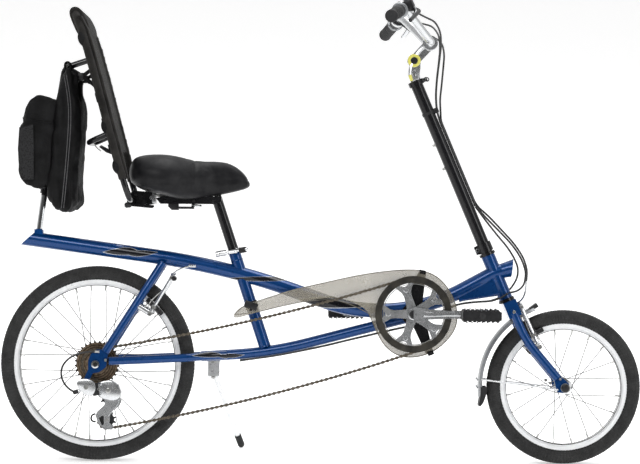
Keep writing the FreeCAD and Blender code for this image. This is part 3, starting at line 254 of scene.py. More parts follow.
def finish(name, dark, light, scale, gloss=None, **sockets):
    """A surface whose colour drifts between two near shades.

    gloss is the lowest and highest roughness and the scale of its patches, as
    handling and dust leave them. The rest are sockets of the shader.
    """
    material = new_material(name, **{"Coat_Roughness": 0.05, **sockets})
    tree = material.node_tree
    shader = shader_of(material)
    patches = texture(tree, "Noise", Scale=scale, Detail=4, Roughness=0.6)
    feed(tree, colours_by(tree, patches, ((0.35, dark), (0.65, light))), shader.inputs["Base Color"])
    if gloss:
        low, high, patch_scale = gloss
        spread = node(tree, "MapRange", From_Min=0.3, From_Max=0.7, To_Min=low, To_Max=high)
        handled = texture(tree, "Noise", Scale=patch_scale, Detail=5, Roughness=0.65)
        feed(tree, handled, spread.inputs["Value"])
        feed(tree, spread.outputs["Result"], shader.inputs["Roughness"])
    return material


def grained(material, scale, depth, kind="Noise", stretch=(1, 1, 1)):
    """Gives a finish fine relief."""
    tree = material.node_tree
    size = node(tree, "Mapping", Scale=stretch)
    feed(tree, own_place(tree), size.inputs["Vector"])
    bump = raised(tree, texture(tree, kind, size.outputs["Vector"], Scale=scale), 0.5, depth)
    feed(tree, bump.outputs["Normal"], shader_of(material).inputs["Normal"])
    return material


def stripe_reach(tree, start, end, width, bend):
    """How far a spot is from a pointed stripe on the upright bicycle: 1 at its edge."""
    start, end = Vector(start) * MM, Vector(end) * MM
    run = end - start
    middle = (start + end) / 2
    shift = node(tree, "VectorMath", operation="SUBTRACT")
    feed(tree, own_place(tree), shift.inputs[0])
    feed(tree, (middle.x, 0, middle.y), shift.inputs[1])
    turn = node(tree, "Mapping", Rotation=(0, math.atan2(run.y, run.x), 0),
                Scale=(2 / run.length, 0, 2 / (width * MM)))
    feed(tree, shift.outputs["Vector"], turn.inputs["Vector"])
    axes = parted(tree, turn.outputs["Vector"])
    square = worked_out(tree, "MULTIPLY", axes["X"], axes["X"])
    lift = worked_out(tree, "MULTIPLY_ADD", square, bend, axes["Z"])
    return worked_out(tree, "ADD", square, worked_out(tree, "ABSOLUTE", lift))


def blue_paint(name):
    return finish(name, (0.0003, 0.030, 0.125), (0.0006, 0.044, 0.18), 700, (0.24, 0.34, 40),
                  Metallic=0.3, Coat_Weight=0.45, Coat_Roughness=0.04, Specular_IOR_Level=0.15)


def striped_paint(*stripes):
    """Blue paint with black pointed stripes and a thin silver line round each."""
    material = blue_paint("striped_blue_paint")
    tree = material.node_tree
    nearest = stripe_reach(tree, *stripes[0])
    for stripe in stripes[1:]:
        nearest = worked_out(tree, "MINIMUM", nearest, stripe_reach(tree, *stripe))
    half = worked_out(tree, "MULTIPLY", nearest, 0.45)
    black, silver = (0.006, 0.006, 0.009), (0.45, 0.47, 0.5)
    bands = colours_by(tree, half, ((0.0, black), (0.42, silver)), "CONSTANT")
    mixed_in(material, worked_out(tree, "LESS_THAN", half, 0.47), bands)
    return material


def chrome(name):
    return finish(name, (0.52, 0.53, 0.54), (0.60, 0.61, 0.62), 50, (0.05, 0.13, 90), Metallic=1)


def strut_chrome():
    """Chrome, with black paint from the sleeve upwards and blue paint at the foot."""
    material = chrome("strut_chrome_and_black")
    tree = material.node_tree
    height = parted(tree, own_place(tree))["Z"]
    above = worked_out(tree, "GREATER_THAN", height, 0.684)
    below = worked_out(tree, "LESS_THAN", height, 0.597)
    mixed_in(material, above, (0.006, 0.006, 0.007, 1))
    mixed_in(material, below, (0.0004, 0.036, 0.15, 1))
    bare = worked_out(tree, "SUBTRACT", 1, worked_out(tree, "ADD", above, below))
    feed(tree, bare, shader_of(material).inputs["Metallic"])
    return material


def brown_cogs():
    """Brown metal with a dark edge to each cog, by how far a spot is from the rear axle."""
    material = finish("brown_cog", (0.10, 0.072, 0.048), (0.27, 0.20, 0.135), 90, (0.32, 0.55, 120),
                      Metallic=0.8)
    tree = material.node_tree
    flat = node(tree, "Mapping", Location=(0, 0, -REAR_RADIUS * MM), Scale=(1, 0, 1))
    feed(tree, own_place(tree), flat.inputs["Vector"])
    reach = node(tree, "VectorMath", operation="LENGTH")
    feed(tree, flat.outputs["Vector"], reach.inputs[0])
    outermost = 0.07
    share = worked_out(tree, "MULTIPLY", reach.outputs["Value"], 1 / outermost)
    plain, dark, darkest = (1, 1, 1), (0.25, 0.25, 0.25), (0.12, 0.12, 0.12)
    stops = [(0.0, plain)]
    for edge, ends in ((0.41, 0.44), (0.49, 0.52), (0.575, 0.605), (0.66, 0.685)):
        stops += [(edge, dark), (ends, plain)]
    stops.append((0.755, darkest))
    mixed_in(material, 1, colours_by(tree, share, stops, "CONSTANT"), "MULTIPLY")
    return material


def tyre_rubber():
    """Matt grey rubber with pale specks and dust, more of it in patches."""
    material = finish("tyre_rubber", (0.019, 0.019, 0.019), (0.033, 0.033, 0.033), 30,
                      (0.7, 0.9, 80), Specular_IOR_Level=0.3)
    tree = material.node_tree
    spread = node(tree, "MapRange", From_Min=0.58, From_Max=0.75, To_Min=0.0, To_Max=0.5)
    feed(tree, texture(tree, "Noise", Scale=420, Detail=3, Roughness=0.7), spread.inputs["Value"])
    mixed_in(material, spread.outputs["Result"], (0.11, 0.11, 0.105, 1))
    return grained(material, 700, 0.0002)


def woven(name, colour, thread, depth, roughness, sheen):
    """Cloth of crossed threads: two sets of fine waves lift the surface."""
    drift_share = 1.6
    material = finish(name, [c / drift_share for c in colour], [c * drift_share for c in colour], 22,
                      Roughness=roughness, Specular_IOR_Level=0.1, Sheen_Weight=sheen,
                      Sheen_Roughness=0.4)
    tree = material.node_tree
    place = own_place(tree)
    waves = []
    for direction in ("Z", "Y"):
        wave = node(tree, "TexWave", Scale=thread, Distortion=0.6, Detail=1, bands_direction=direction)
        feed(tree, place, wave.inputs["Vector"])
        waves.append(wave.outputs["Fac"])
    coarse = raised(tree, texture(tree, "Noise", place, Scale=45, Detail=3), 0.4, 0.006)
    fine = raised(tree, worked_out(tree, "MAXIMUM", *waves), 0.6, depth)
    feed(tree, coarse.outputs["Normal"], fine.inputs["Normal"])
    feed(tree, fine.outputs["Normal"], shader_of(material).inputs["Normal"])
    return material


def pocket_net():
    """A fine open net laid on the bag: dark threads with darker holes."""
    material = new_material("pocket_net", Roughness=0.75, Specular_IOR_Level=0.15)
    tree = material.node_tree
    shader = shader_of(material)
    cells = texture(tree, "Voronoi", Scale=330)
    hole, thread = (0.004, 0.004, 0.004), (0.022, 0.022, 0.023)
    feed(tree, colours_by(tree, cells, ((0.28, hole), (0.45, thread))), shader.inputs["Base Color"])
    feed(tree, raised(tree, cells, 0.6, 0.0006).outputs["Normal"], shader.inputs["Normal"])
    return material


set_camera()
lay_floor()
set_lights()
bpy.context.scene.view_settings.view_transform = "Standard"

BLUE = blue_paint("blue_paint")
STRIPED = striped_paint(
    ((18, 553), (112, 528), 20, 0.5), ((60, 541), (150, 529), 16, -0.6),
    ((500, 462), (735, 368), 34, 0.25), ((330, 497), (520, 447), 12, 0.0),
    ((250, 284), (330, 268), 13, 0.5), ((300, 271), (380, 274), 11, -0.5))
BLACK = finish("black_paint", (0.004, 0.004, 0.005), (0.008, 0.008, 0.009), 300, (0.16, 0.3, 60),
               Coat_Weight=0.15, Specular_IOR_Level=0.25)
YELLOW = finish("yellow_paint", (0.56, 0.52, 0.10), (0.68, 0.64, 0.15), 160, (0.3, 0.45, 120),
                Coat_Weight=0.3)
ALLOY = grained(finish("brushed_alloy", (0.66, 0.67, 0.68), (0.76, 0.77, 0.78), 60,
                       (0.24, 0.36, 90), Metallic=1), 260, 0.00001, stretch=(1, 1, 0.1))
RIM = finish("bright_rim", (0.84, 0.85, 0.86), (0.92, 0.93, 0.94), 30, (0.26, 0.38, 70), Metallic=0.2)
POLISHED = finish("polished_alloy", (0.52, 0.53, 0.54), (0.64, 0.65, 0.66), 80, (0.08, 0.22, 70),
                  Metallic=1)
SATIN = finish("satin_alloy", (0.54, 0.55, 0.56), (0.60, 0.61, 0.62), 40, (0.2, 0.28, 40),
               Metallic=0.92)
CHROME = chrome("chrome")
STRUT = strut_chrome()
STEEL = finish("plain_steel", (0.33, 0.33, 0.32), (0.46, 0.46, 0.45), 120, (0.25, 0.4, 100),
               Metallic=1)
SPOKE = finish("spoke_steel", (0.09, 0.09, 0.09), (0.16, 0.16, 0.16), 60, (0.34, 0.5, 60),
               Metallic=0.6)
CHAIN = finish("oiled_chain", (0.05, 0.042, 0.033), (0.17, 0.145, 0.11), 200, (0.3, 0.55, 150),
               Metallic=0.6)
BRONZE = brown_cogs()
TYRE = tyre_rubber()
RUBBER = grained(finish("black_rubber", (0.009, 0.009, 0.01), (0.018, 0.018, 0.019), 80,
                        (0.5, 0.7, 150), Specular_IOR_Level=0.3), 900, 0.0001)
PLASTIC = grained(finish("black_plastic", (0.007, 0.007, 0.008), (0.015, 0.015, 0.016), 70,
                         (0.32, 0.5, 160), Specular_IOR_Level=0.3), 1200, 0.00005)
RING = finish("worn_black_ring", (0.012, 0.011, 0.009), (0.04, 0.036, 0.028), 45, (0.3, 0.5, 70),
              Metallic=0.3)
SILVER = finish("silver_plastic", (0.26, 0.27, 0.28), (0.33, 0.34, 0.35), 40, (0.24, 0.38, 80),
                Metallic=0.4, Coat_Weight=0.2)
SMOKE = finish("smoked_plastic", (0.27, 0.245, 0.195), (0.33, 0.305, 0.245), 12, (0.16, 0.28, 60),
               Alpha=0.56)
EDGE = finish("guard_edge", (0.07, 0.062, 0.046), (0.12, 0.108, 0.08), 60, Roughness=0.3)
WINDOW = finish("shifter_window", (0.12, 0.13, 0.14), (0.22, 0.23, 0.24), 150, Roughness=0.12,
                Coat_Weight=1)
VINYL = grained(finish("saddle_vinyl", (0.006, 0.006, 0.007), (0.012, 0.012, 0.013), 40,
                       (0.36, 0.5, 60), Specular_IOR_Level=0.14), 520, 0.00035, "Voronoi")
MESH = woven("backrest_mesh", (0.017, 0.016, 0.015), 330, 0.0006, 0.8, 0.05)
NYLON = woven("bag_nylon", (0.0065, 0.0065, 0.0068), 420, 0.0003, 0.62, 0.0)
NET = pocket_net()
SLEEVE = finish("cable_sleeve", (0.007, 0.007, 0.008), (0.014, 0.014, 0.015), 90, (0.24, 0.38, 200))
THREAD = finish("zip_thread", (0.03, 0.03, 0.032), (0.09, 0.09, 0.094), 500, Roughness=0.6)

SLOT_FINISH = {
    "blue_paint": BLUE, "black_paint": BLACK, "yellow_paint": YELLOW, "alloy": ALLOY,
    "chrome": CHROME, "steel": STEEL, "bronze": BRONZE, "tyre": TYRE, "rubber": RUBBER,
    "black_plastic": PLASTIC, "silver_plastic": SILVER, "smoke_plastic": SMOKE,
    "vinyl": VINYL, "mesh": MESH, "bag_fabric": NYLON, "cable": SLEEVE,
}
NODE_FINISH = {
    "main_tube": STRIPED, "lower_tube": STRIPED, "chain_stays": STRIPED, "back_strut": STRUT,
    "rear_rim": RIM, "front_rim": RIM, "rear_spokes": SPOKE, "front_spokes": SPOKE,
    "ring_guard": RING, "chainring": RING, "stem": SATIN, "handlebar": SATIN,
    "rear_derailleur": SATIN, "right_crank": SATIN, "rear_brake": SATIN,
    "front_brake": SATIN, "left_crank": SATIN, "stem_hub": SATIN,
}


def dress_nodes():
    """Gives each CAD node its own finish, or else its slot's."""
    for part in frame["record"]["subparts"]:
        materials = frame["nodes"][part["node"]].data.materials
        materials.clear()
        materials.append(NODE_FINISH.get(part["node"], SLOT_FINISH[part["material_slot"]]))


dress_nodes()


# Ways of making a piece. Lengths are in mm on the upright bicycle.

def out_of_edit(merge=True):
    """Closes the seams, turns the faces outwards and leaves edit mode."""
    bpy.ops.mesh.select_all(action="SELECT")
    if merge:
        bpy.ops.mesh.remove_doubles(threshold=0.01 * MM)
    bpy.ops.mesh.normals_make_consistent(inside=False)
    bpy.ops.object.mode_set(mode="OBJECT")


def shifted(spot):
    return Matrix.Translation(Vector(spot) * MM)


def set_at(spot, heading):
    """The place of a piece at a spot, its own Z turned to a heading."""
    return shifted(spot) @ Vector(heading).to_track_quat("Z", "Y").to_matrix().to_4x4()


def fitted(material, piece, spot=ORIGIN, heading=None, tilt=0):
    """Gives a piece its finish, and sets it at a heading or tilted about Y, in degrees."""
    if heading is None:
        piece.data.transform(shifted(spot) @ Matrix.Rotation(math.radians(tilt), 4, "Y"))
    else:
        piece.data.transform(set_at(spot, heading))
    piece.data.materials.clear()
    piece.data.materials.append(material)
    return piece


def extruded_rings(stops, sides, fill_type, kind):
    """Pulls a circle through stops of radius and distance along Z, and stays in edit mode."""
    clear_selection()
    radius, along = stops[0]
    bpy.ops.mesh.primitive_circle_add(vertices=sides, radius=radius * MM, fill_type=fill_type)
    edit_mode(kind)
    bpy.ops.transform.translate(value=(0, 0, along * MM))
    for next_radius, next_along in stops[1:]:
        step = (0, 0, (next_along - along) * MM)
        bpy.ops.mesh.extrude_region_move(TRANSFORM_OT_translate={"value": step})
        grow = next_radius / radius
        bpy.ops.transform.resize(value=(grow, grow, 1), center_override=(0, 0, next_along * MM))
        radius, along = next_radius, next_along


def turned(material, stops, sides=24, spot=ORIGIN, heading=None):
    """A closed round form: each stop is a radius and how far along Z."""
    extruded_rings(stops, sides, "NGON", "FACE")
    out_of_edit(merge=False)
    return fitted(material, bpy.context.object, spot, heading)


def hoop(material, stops, sides, spot=ORIGIN, heading=None):
    """A ring round Z whose section is a closed run of radius and along."""
    extruded_rings([*stops, stops[0]], sides, "NOTHING", "EDGE")
    out_of_edit()
    return fitted(material, bpy.context.object, spot, heading)


def made_mesh(curve):
    """Makes a curve's form a closed mesh."""
    piece = bpy.data.objects.new("line", curve)
    bpy.context.collection.objects.link(piece)
    pick(piece)
    bpy.ops.object.convert(target="MESH")
    edit_mode()
    out_of_edit()
    return bpy.context.object


def drawn(material, points, radius, order=3, sides=3, resolution=5):
    """A round bar along a smooth line, closed at its ends; a point may scale its radius."""
    curve = bpy.data.curves.new("line", "CURVE")
    curve.dimensions = "3D"
    spline = curve.splines.new("NURBS")
    spline.points.add(len(points) - 1)
    for point, spot in zip(spline.points, points):
        point.co = (*(Vector(spot[:3]) * MM), 1)
        point.radius = spot[3] if len(spot) > 3 else 1
    spline.order_u = order
    spline.use_endpoint_u = True
    spline.resolution_u = resolution
    curve.bevel_depth = radius * MM
    curve.bevel_resolution = sides
    curve.use_fill_caps = True
    return fitted(material, made_mesh(curve))


def cut_sheet(material, corners, side, thick, soft=0.0, smooth=False, holes=()):
    """A flat piece from its outline in X and Z, its middle at a distance to the left."""
    curve = bpy.data.curves.new("outline", "CURVE")
    curve.dimensions = "2D"
    curve.fill_mode = "BOTH"
    for ring in [corners, *holes]:
        spline = curve.splines.new("NURBS" if smooth else "POLY")
        spline.points.add(len(ring) - 1)
        for point, (x, z) in zip(spline.points, ring):
            point.co = (x * MM, z * MM, 0, 1)
        if smooth:
            spline.order_u = 3
            spline.resolution_u = 4
        spline.use_cyclic_u = True
    curve.extrude = (thick / 2 - soft) * MM
    curve.bevel_depth = soft * MM
    curve.bevel_resolution = 1
    piece = made_mesh(curve)
    piece.data.transform(Matrix(((1, 0, 0, 0), (0, 0, -1, side * MM), (0, 1, 0, 0), (0, 0, 0, 1))))
    return fitted(material, piece)


def block(material, size, soft, spot, tilt=0, heading=None):
    """A rounded block about its own middle."""
    clear_selection()
    bpy.ops.mesh.primitive_cube_add(size=1)
    edit_mode("EDGE")
    bpy.ops.transform.resize(value=tuple(length * MM for length in size))
    bpy.ops.mesh.bevel(offset=soft * MM, segments=2)
    bpy.ops.object.mode_set(mode="OBJECT")
    return fitted(material, bpy.context.object, spot, heading, tilt)


def bolt(material, radius, height, spot, heading):
    """A round screw head with a six-sided recess."""
    piece = turned(material, [(radius, 0), (radius, height * 0.75), (radius * 0.86, height)], 18)
    bit = turned(material, [(radius * 0.5, height * 0.45), (radius * 0.5, height + 1)], 6)
    applied(piece, "BOOLEAN", operation="DIFFERENCE", object=bit)
    bpy.data.objects.remove(bit)
    return fitted(material, piece, spot, heading)


def nut(material, radius, height, spot, heading):
    """A six-sided nut with the bolt's round end standing out of it."""
    piece = turned(material, [(radius * 0.93, 0), (radius, height * 0.12), (radius, height * 0.88),
                              (radius * 0.93, height)], 6)
    tip = turned(material, [(radius * 0.48, height), (radius * 0.48, height * 1.5),
                            (radius * 0.4, height * 1.65)], 12)
    return fitted(material, joined([piece, tip]), spot, heading)


def applied(piece, kind, **settings):
    """Adds a modifier to a piece and applies it."""
    pick(piece)
    modifier = piece.modifiers.new(kind, kind)
    for key, value in settings.items():
        setattr(modifier, key, value)
    bpy.ops.object.modifier_apply(modifier=kind)
    return piece


def joined(pieces):
    """Makes one object of several; a piece keeps its own finish in it."""
    pick(pieces[0])
    for piece in pieces[1:]:
        piece.select_set(True)
    if len(pieces) > 1:
        bpy.ops.object.join()
    return pieces[0]


def copy_of(piece, turn):
    """A copy with its own mesh, moved; a mirrored one keeps its faces outwards."""
    twin = piece.copy()
    twin.data = piece.data.copy()
    bpy.context.collection.objects.link(twin)
    twin.data.transform(turn)
    if turn.determinant() < 0:
        twin.data.flip_normals()
    return twin


def other_side(piece):
    return copy_of(piece, Matrix.Scale(-1, 4, LEFT))


def pair(make, *form, spot):
    """The same piece on both sides, facing out; its spot is given for the left."""
    return [make(*form, (spot[0], side * spot[1], spot[2]), (0, side, 0)) for side in SIDES]


def drawn_pair(material, points, radius, **settings):
    """The same bar on both sides; its points are given for the left."""
    return [drawn(material, sided(points, side), radius, **settings) for side in SIDES]


def sided(points, side):
    """Points given for the left, on the side that is asked for."""
    return [(x, side * y, *rest) for x, y, *rest in points]


def zero_to_one(value):
    return min(1, max(0, value))


def keep_piece(name, pieces, body, place=UPRIGHT, smooth=35, replaces=()):
    """Joins finished pieces, sets them on the leaning bicycle and gives them to a body."""
    piece = joined(pieces)
    piece.name = name
    piece.data.name = name
    piece.data.transform(place)
    pick(piece)
    bpy.ops.object.shade_smooth_by_angle(angle=math.radians(smooth))
    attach(piece, body)
    if replaces:
        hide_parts(*replaces)
    return piece


# Wheels.

TYRE_DEPTH = 34.6
RIM_DEPTH = 15
CROWN_DEPTH = 1.3
TREAD_DEPTH = 5
FLANGE_LEAN = 8


def tread_tyre(radius, sides):
    """A tyre with a smooth wall and three rows of blocks and grooves round its crown."""
    top = radius - CROWN_DEPTH
    wall = [(0, 2.5), (0.5, 6), (1.1, 10.5), (2.6, 15), (5, 19), (9, 22.4), (14, 24), (20, 23.6),
            (26, 20.4), (30, 15.5), (32.6, 12.2), (33.2, 11.2)]
    left_wall = [(top - down, across) for down, across in wall]
    right_wall = [(reach, -across) for reach, across in reversed(left_wall)]
    tyre = hoop(TYRE, right_wall[-1:] + left_wall + right_wall[:-1], sides)
    for face in tyre.data.polygons:
        reach = math.hypot(face.center.x, face.center.y)
        angle = math.atan2(face.center.y, face.center.x) % (2 * math.pi)
        step = int(angle / (2 * math.pi) * sides)
        across = face.center.z / MM
        row = abs(across)
        left = across > 0
        raised_block = (row < 2.5 and step % 4 != 3 or 2.5 <= row <= 6 and step % 2 == left
                        or 6 < row < 15 and (step + left) % 2 == 0)
        face.select = reach > (top - TREAD_DEPTH) * MM and raised_block
    bpy.ops.object.mode_set(mode="EDIT")
    bpy.ops.mesh.select_mode(type="FACE")
    bpy.ops.mesh.inset(thickness=0.9 * MM, depth=1.2 * MM, use_individual=True)
    bpy.ops.object.mode_set(mode="OBJECT")
    return tyre


def nipples(radius, count):
    """A nipple where each spoke meets the rim, leaning towards its flange."""
    seat = radius - TYRE_DEPTH - RIM_DEPTH - 0.2
    pattern = turned(STEEL, [(1.7, -13), (2.1, -12), (2.3, 0), (3.4, 0.4), (3.4, 1.6)], 8)
    made = []
    for i in range(count):
        angle = 2 * math.pi * (i + 0.5) / count
        side = 3 if i % 2 else -3
        spot = Vector((seat * math.cos(angle), seat * math.sin(angle), side))
        made.append(copy_of(pattern, set_at(spot, spot - Vector((0, 0, side * FLANGE_LEAN)))))
    bpy.data.objects.remove(pattern)
    return made


def valve(radius, angle):
    """The tube's valve stem with its cap, pointing at the axle."""
    seat = radius - TYRE_DEPTH - RIM_DEPTH
    out = Vector((math.cos(angle), math.sin(angle), 0))
    stops = [(4, -1), (4, 1.5), (2.9, 2), (2.9, 18), (3.6, 18.4), (3.6, 28), (2.6, 30)]
    return turned(PLASTIC, stops, 14, out * seat, -out)


def dress_wheels():
    """The tyres, each spoke's nipple, a thin dark line inside each rim, and the valves."""
    for end, radius, x, spokes, valve_angle, sides in (
            ("rear", REAR_RADIUS, 0, 32, math.radians(-57), 168),
            ("front", FRONT_RADIUS, WHEELBASE, 20, math.radians(-135), 136)):
        wheel, tyre = end + "_wheel", end + "_tyre"
        place = UPRIGHT @ shifted((x, 0, radius)) @ Matrix.Rotation(-math.pi / 2, 4, "X")
        keep_piece(tyre + "_tread", [tread_tyre(radius, sides)], wheel, place, 30, (tyre,))
        inside, outside = radius - 50.8, radius - 49.2
        lines = [hoop(RUBBER, [(inside, side * 10.5), (outside, side * 10.5), (outside, side * 12.2),
                               (inside, side * 11.8)], 96) for side in SIDES]
        keep_piece(wheel + "_nipples", nipples(radius, spokes) + lines, wheel, place)
        keep_piece(wheel + "_valve", [valve(radius, valve_angle)], wheel, place)


# Chain.

PITCH = 12.7
RING_TEETH = 46
COG_TEETH = 18
PULLEY_TEETH = 11
CHAIN_LINE = -43
BRACKET = (814.5, 385)
GUIDE = (33, 166)
TENSION = (28, 107)
CHAIN_SAG = 17


def pitch_radius(teeth):
    return PITCH / (2 * math.sin(math.pi / teeth))


def sagging_run(one, two, sign):
    """A wide arc that touches two sprockets, each a middle and a radius, and sags between."""
    span = math.hypot(two[0] - one[0], two[1] - one[1])
    big = sign * span ** 2 / (8 * CHAIN_SAG)
    first, second = abs(big - one[2]), abs(big - two[2])
    along = (first ** 2 - second ** 2 + span ** 2) / (2 * span)
    rise = math.sqrt(first ** 2 - along ** 2)
    ux, uz = (two[0] - one[0]) / span, (two[1] - one[1]) / span
    nx, nz = (-uz, ux) if ux > 0 else (uz, -ux)
    return (one[0] + ux * along + nx * rise, one[1] + uz * along + nz * rise, big)


def chain_run():
    """Spots of the chain's pins, and whether each lies on a sprocket."""
    ring = (*BRACKET, pitch_radius(RING_TEETH))
    tension = (*TENSION, pitch_radius(PULLEY_TEETH))
    guide = (*GUIDE, -pitch_radius(PULLEY_TEETH))
    cog = (0, REAR_RADIUS, pitch_radius(COG_TEETH))
    runs = (sagging_run(ring, tension, 1), sagging_run(cog, ring, -1))
    order = [ring, runs[0], tension, guide, cog, runs[1]]

    def touch(one, two):
        """The angle on both circles where the chain goes from one to the next."""
        if one in runs or two in runs:
            big, small = (one, two) if one in runs else (two, one)
            reach = small[2] - big[2]
            return math.atan2((big[1] - small[1]) / reach, (big[0] - small[0]) / reach)
        dx, dz = two[0] - one[0], two[1] - one[1]
        return math.atan2(dz, dx) - math.asin((one[2] - two[2]) / math.hypot(dx, dz)) + math.pi / 2

    spots = []
    for i, now in enumerate(order):
        x, z, radius = now
        start, end = touch(order[i - 1], now), touch(now, order[(i + 1) % 6])
        way = -1 if radius > 0 else 1
        turn = (way * (end - start)) % (2 * math.pi)
        count = max(8, int(abs(radius) * turn / 2))
        for k in range(count + 1):
            angle = start + way * turn * k / count
            spot = Vector((x + radius * math.cos(angle), z + radius * math.sin(angle)))
            spots.append((spot, now not in runs))
    spots.append(spots[0])
    length = sum((b[0] - a[0]).length for a, b in zip(spots, spots[1:]))
    links = 2 * round(length / PITCH / 2)
    step = length / links
    pins = []
    done = 0.0
    for (a, wrapped), (b, _) in zip(spots, spots[1:]):
        run = (b - a).length
        while run and done + run >= len(pins) * step and len(pins) < links:
            pins.append((a.lerp(b, (len(pins) * step - done) / run), wrapped))
        done += run
    return pins


def link_plate(side):
    """One side plate, rounded at both pins and narrower between them."""
    end_radius, waist = 4.3, 1.9
    ring = []
    for end in SIDES:
        for k in range(5):
            angle = math.pi * (k / 4 - end / 2)
            ring.append((end * PITCH / 2 + end_radius * math.cos(angle), end_radius * math.sin(angle)))
        ring.append((0, end * waist))
    return cut_sheet(CHAIN, ring, side, 0.8)


def dress_chain():
    """Inner and outer links; rollers only where the chain runs free of the teeth."""
    pins = chain_run()
    outer, inner = [joined([link_plate(side) for side in (out, -out)]) for out in (2.55, 1.7)]
    head = joined(pair(turned, CHAIN, [(1.9, 0), (1.6, 0.7)], 8, spot=(0, 2.9, 0)))
    roller = turned(CHAIN, [(3.8, -1.25), (3.8, 1.25)], 10, ORIGIN, LEFT)
    made = []
    for i, (spot, wrapped) in enumerate(pins):
        following = pins[(i + 1) % len(pins)][0]
        middle = (spot + following) / 2
        angle = math.atan2(following.y - spot.y, following.x - spot.x)
        place = shifted((middle.x, CHAIN_LINE, middle.y)) @ Matrix.Rotation(-angle, 4, "Y")
        made.append(copy_of(outer if i % 2 else inner, place))
        pin_place = shifted((spot.x, CHAIN_LINE, spot.y))
        made.append(copy_of(head, pin_place))
        if not wrapped:
            made.append(copy_of(roller, pin_place))
    for pattern in (outer, inner, head, roller):
        bpy.data.objects.remove(pattern)
    keep_piece("chain_links", made, "frame", smooth=25, replaces=("chain",))


# Drive.

CRANK_LENGTH = 170
PEDAL_NEAR = 24 - CHAIN_LINE
PEDAL_FAR = 120 - CHAIN_LINE
RING_BOLT_CIRCLE = 65
GUARD_SCREW_CIRCLE = 90


def around(centre, side, radius, angles):
    """Spots round a line to the left, at angles in degrees."""
    turns = [math.radians(angle) for angle in angles]
    return [(centre[0] + radius * math.cos(turn), side, centre[1] + radius * math.sin(turn))
            for turn in turns]


def dress_drive():
    """The ring's bolts and screws, a thin light ring inside the guard as a painted highlight, the crank's caps and
    ribs, and the cogs' lock ring.
    """
    x, z = BRACKET
    arm = CHAIN_LINE - 16
    ring_face = CHAIN_LINE - 7
    made = [bolt(SATIN, 6.2, 2.4, spot, RIGHT)
            for spot in around(BRACKET, ring_face, RING_BOLT_CIRCLE, range(180, -180, -72))]
    made.append(hoop(SATIN, [(11.5, 0), (14.8, 0), (14.4, 2.6), (12.2, 3)], 36, (x, arm, z), RIGHT))
    made += pair(bolt, PLASTIC, 10.5, 2.2, spot=(x, -arm, z))
    rib = cut_sheet(SATIN, [(26, 6.5), (60, 4.2), (120, 3.4), (150, 4), (150, -4), (120, -3.4),
                            (60, -4.2), (26, -6.5)], 0, 1.6, 0.5)
    made.append(copy_of(rib, shifted((x, arm - 5.4, z))))
    made.append(fitted(SATIN, rib, (x, 5.4 - arm, z), tilt=180))
    keep_piece("crank_bolts", made, "crank")
    # A thin steel ring inside the chainring guard: a painted highlight line, not a part of the ring.
    line = hoop(STEEL, [(77, 0), (79, 0), (79, 0.9), (77, 0.9)], 120, (x, CHAIN_LINE - 5.2, z), RIGHT)
    keep_piece("chainring_painted_highlight", [line], "crank")
    screws = [bolt(RING, 3.2, 1.6, spot, RIGHT)
              for spot in around(BRACKET, ring_face, GUARD_SCREW_CIRCLE, (45, 135, 225, 315))]
    keep_piece("ring_guard_screws", screws, "crank")
    lock = hoop(BRONZE, [(12, 0), (19, 0), (18, 2.2), (12.6, 2.6)], 40,
                (0, CHAIN_LINE - 11, REAR_RADIUS), RIGHT)
    keep_piece("freewheel_lock_ring", [lock], "frame")


def dress_pedals():
    """Toothed cage plates, a middle barrel and a rubbed end cap on each pedal."""
    x, z = BRACKET
    for name, outward in (("right_pedal", -1), ("left_pedal", 1)):
        centre = x - outward * CRANK_LENGTH
        near, far = outward * PEDAL_NEAR, outward * PEDAL_FAR
        made = []
        for side in (near + outward * 1.2, far - outward * 1.2):
            for up in SIDES:
                for k in range(7):
                    spot = (centre - 39 + 13 * k, side, z + up * 15.5)
                    made.append(turned(PLASTIC, [(2.1, -1), (1.5, 1.7)], 8, spot, (0, 0, up)))
        made.append(turned(PLASTIC, [(9, 0), (9.4, 2), (9.4, 74), (9, 76)], 20,
                           (centre, near + outward * 10, z), (0, outward, 0)))
        made.append(turned(PLASTIC, [(8, 0), (8, 1), (6.5, 1.8)], 20, (centre, far, z), (0, outward, 0)))
        keep_piece(name + "_teeth", made, name)


# Seat and bags.

def plump(node_name, material, voxel, swell, pressure, rounding):
    """A sewn soft piece: the CAD solid's form, blown up a little as filled cloth is."""
    fill_steps = 20
    filling = {"use_pressure": True, "uniform_pressure_force": pressure, "quality": 4,
               "tension_stiffness": 12, "compression_stiffness": 12, "bending_stiffness": 0.4}
    piece = bpy.data.objects.new(node_name + "_cover", frame["nodes"][node_name].data.copy())
    bpy.context.collection.objects.link(piece)
    pick(piece)
    edit_mode()
    bpy.ops.mesh.remove_doubles(threshold=0.1 * MM)
    bpy.ops.object.mode_set(mode="OBJECT")
    piece.data.transform(TO_UPRIGHT)
    applied(piece, "REMESH", mode="VOXEL", voxel_size=voxel * MM)
    applied(piece, "SMOOTH", factor=0.5, iterations=rounding)
    before = [vertex.co.copy() for vertex in piece.data.vertices]
    cloth = piece.modifiers.new("fill", "CLOTH")
    for key, value in filling.items():
        setattr(cloth.settings, key, value)
    cloth.settings.effector_weights.gravity = 0
    cloth.point_cache.frame_start = 1
    cloth.point_cache.frame_end = fill_steps
    for step in range(fill_steps):
        bpy.context.scene.frame_set(step + 1)
    bpy.ops.object.modifier_apply(modifier="fill")
    bpy.context.scene.frame_set(1)
    for vertex, start in zip(piece.data.vertices, before):
        travel = vertex.co - start
        if travel.length > swell * MM:
            vertex.co = start + travel * (swell * MM / travel.length)
    return fitted(material, piece)


def wrinkled(piece, amount):
    """Moves each point by amount(spot in mm), along its normal, in mm."""
    for vertex in piece.data.vertices:
        vertex.co += vertex.normal * (amount(vertex.co / MM) * MM)
    piece.data.update()
    return piece


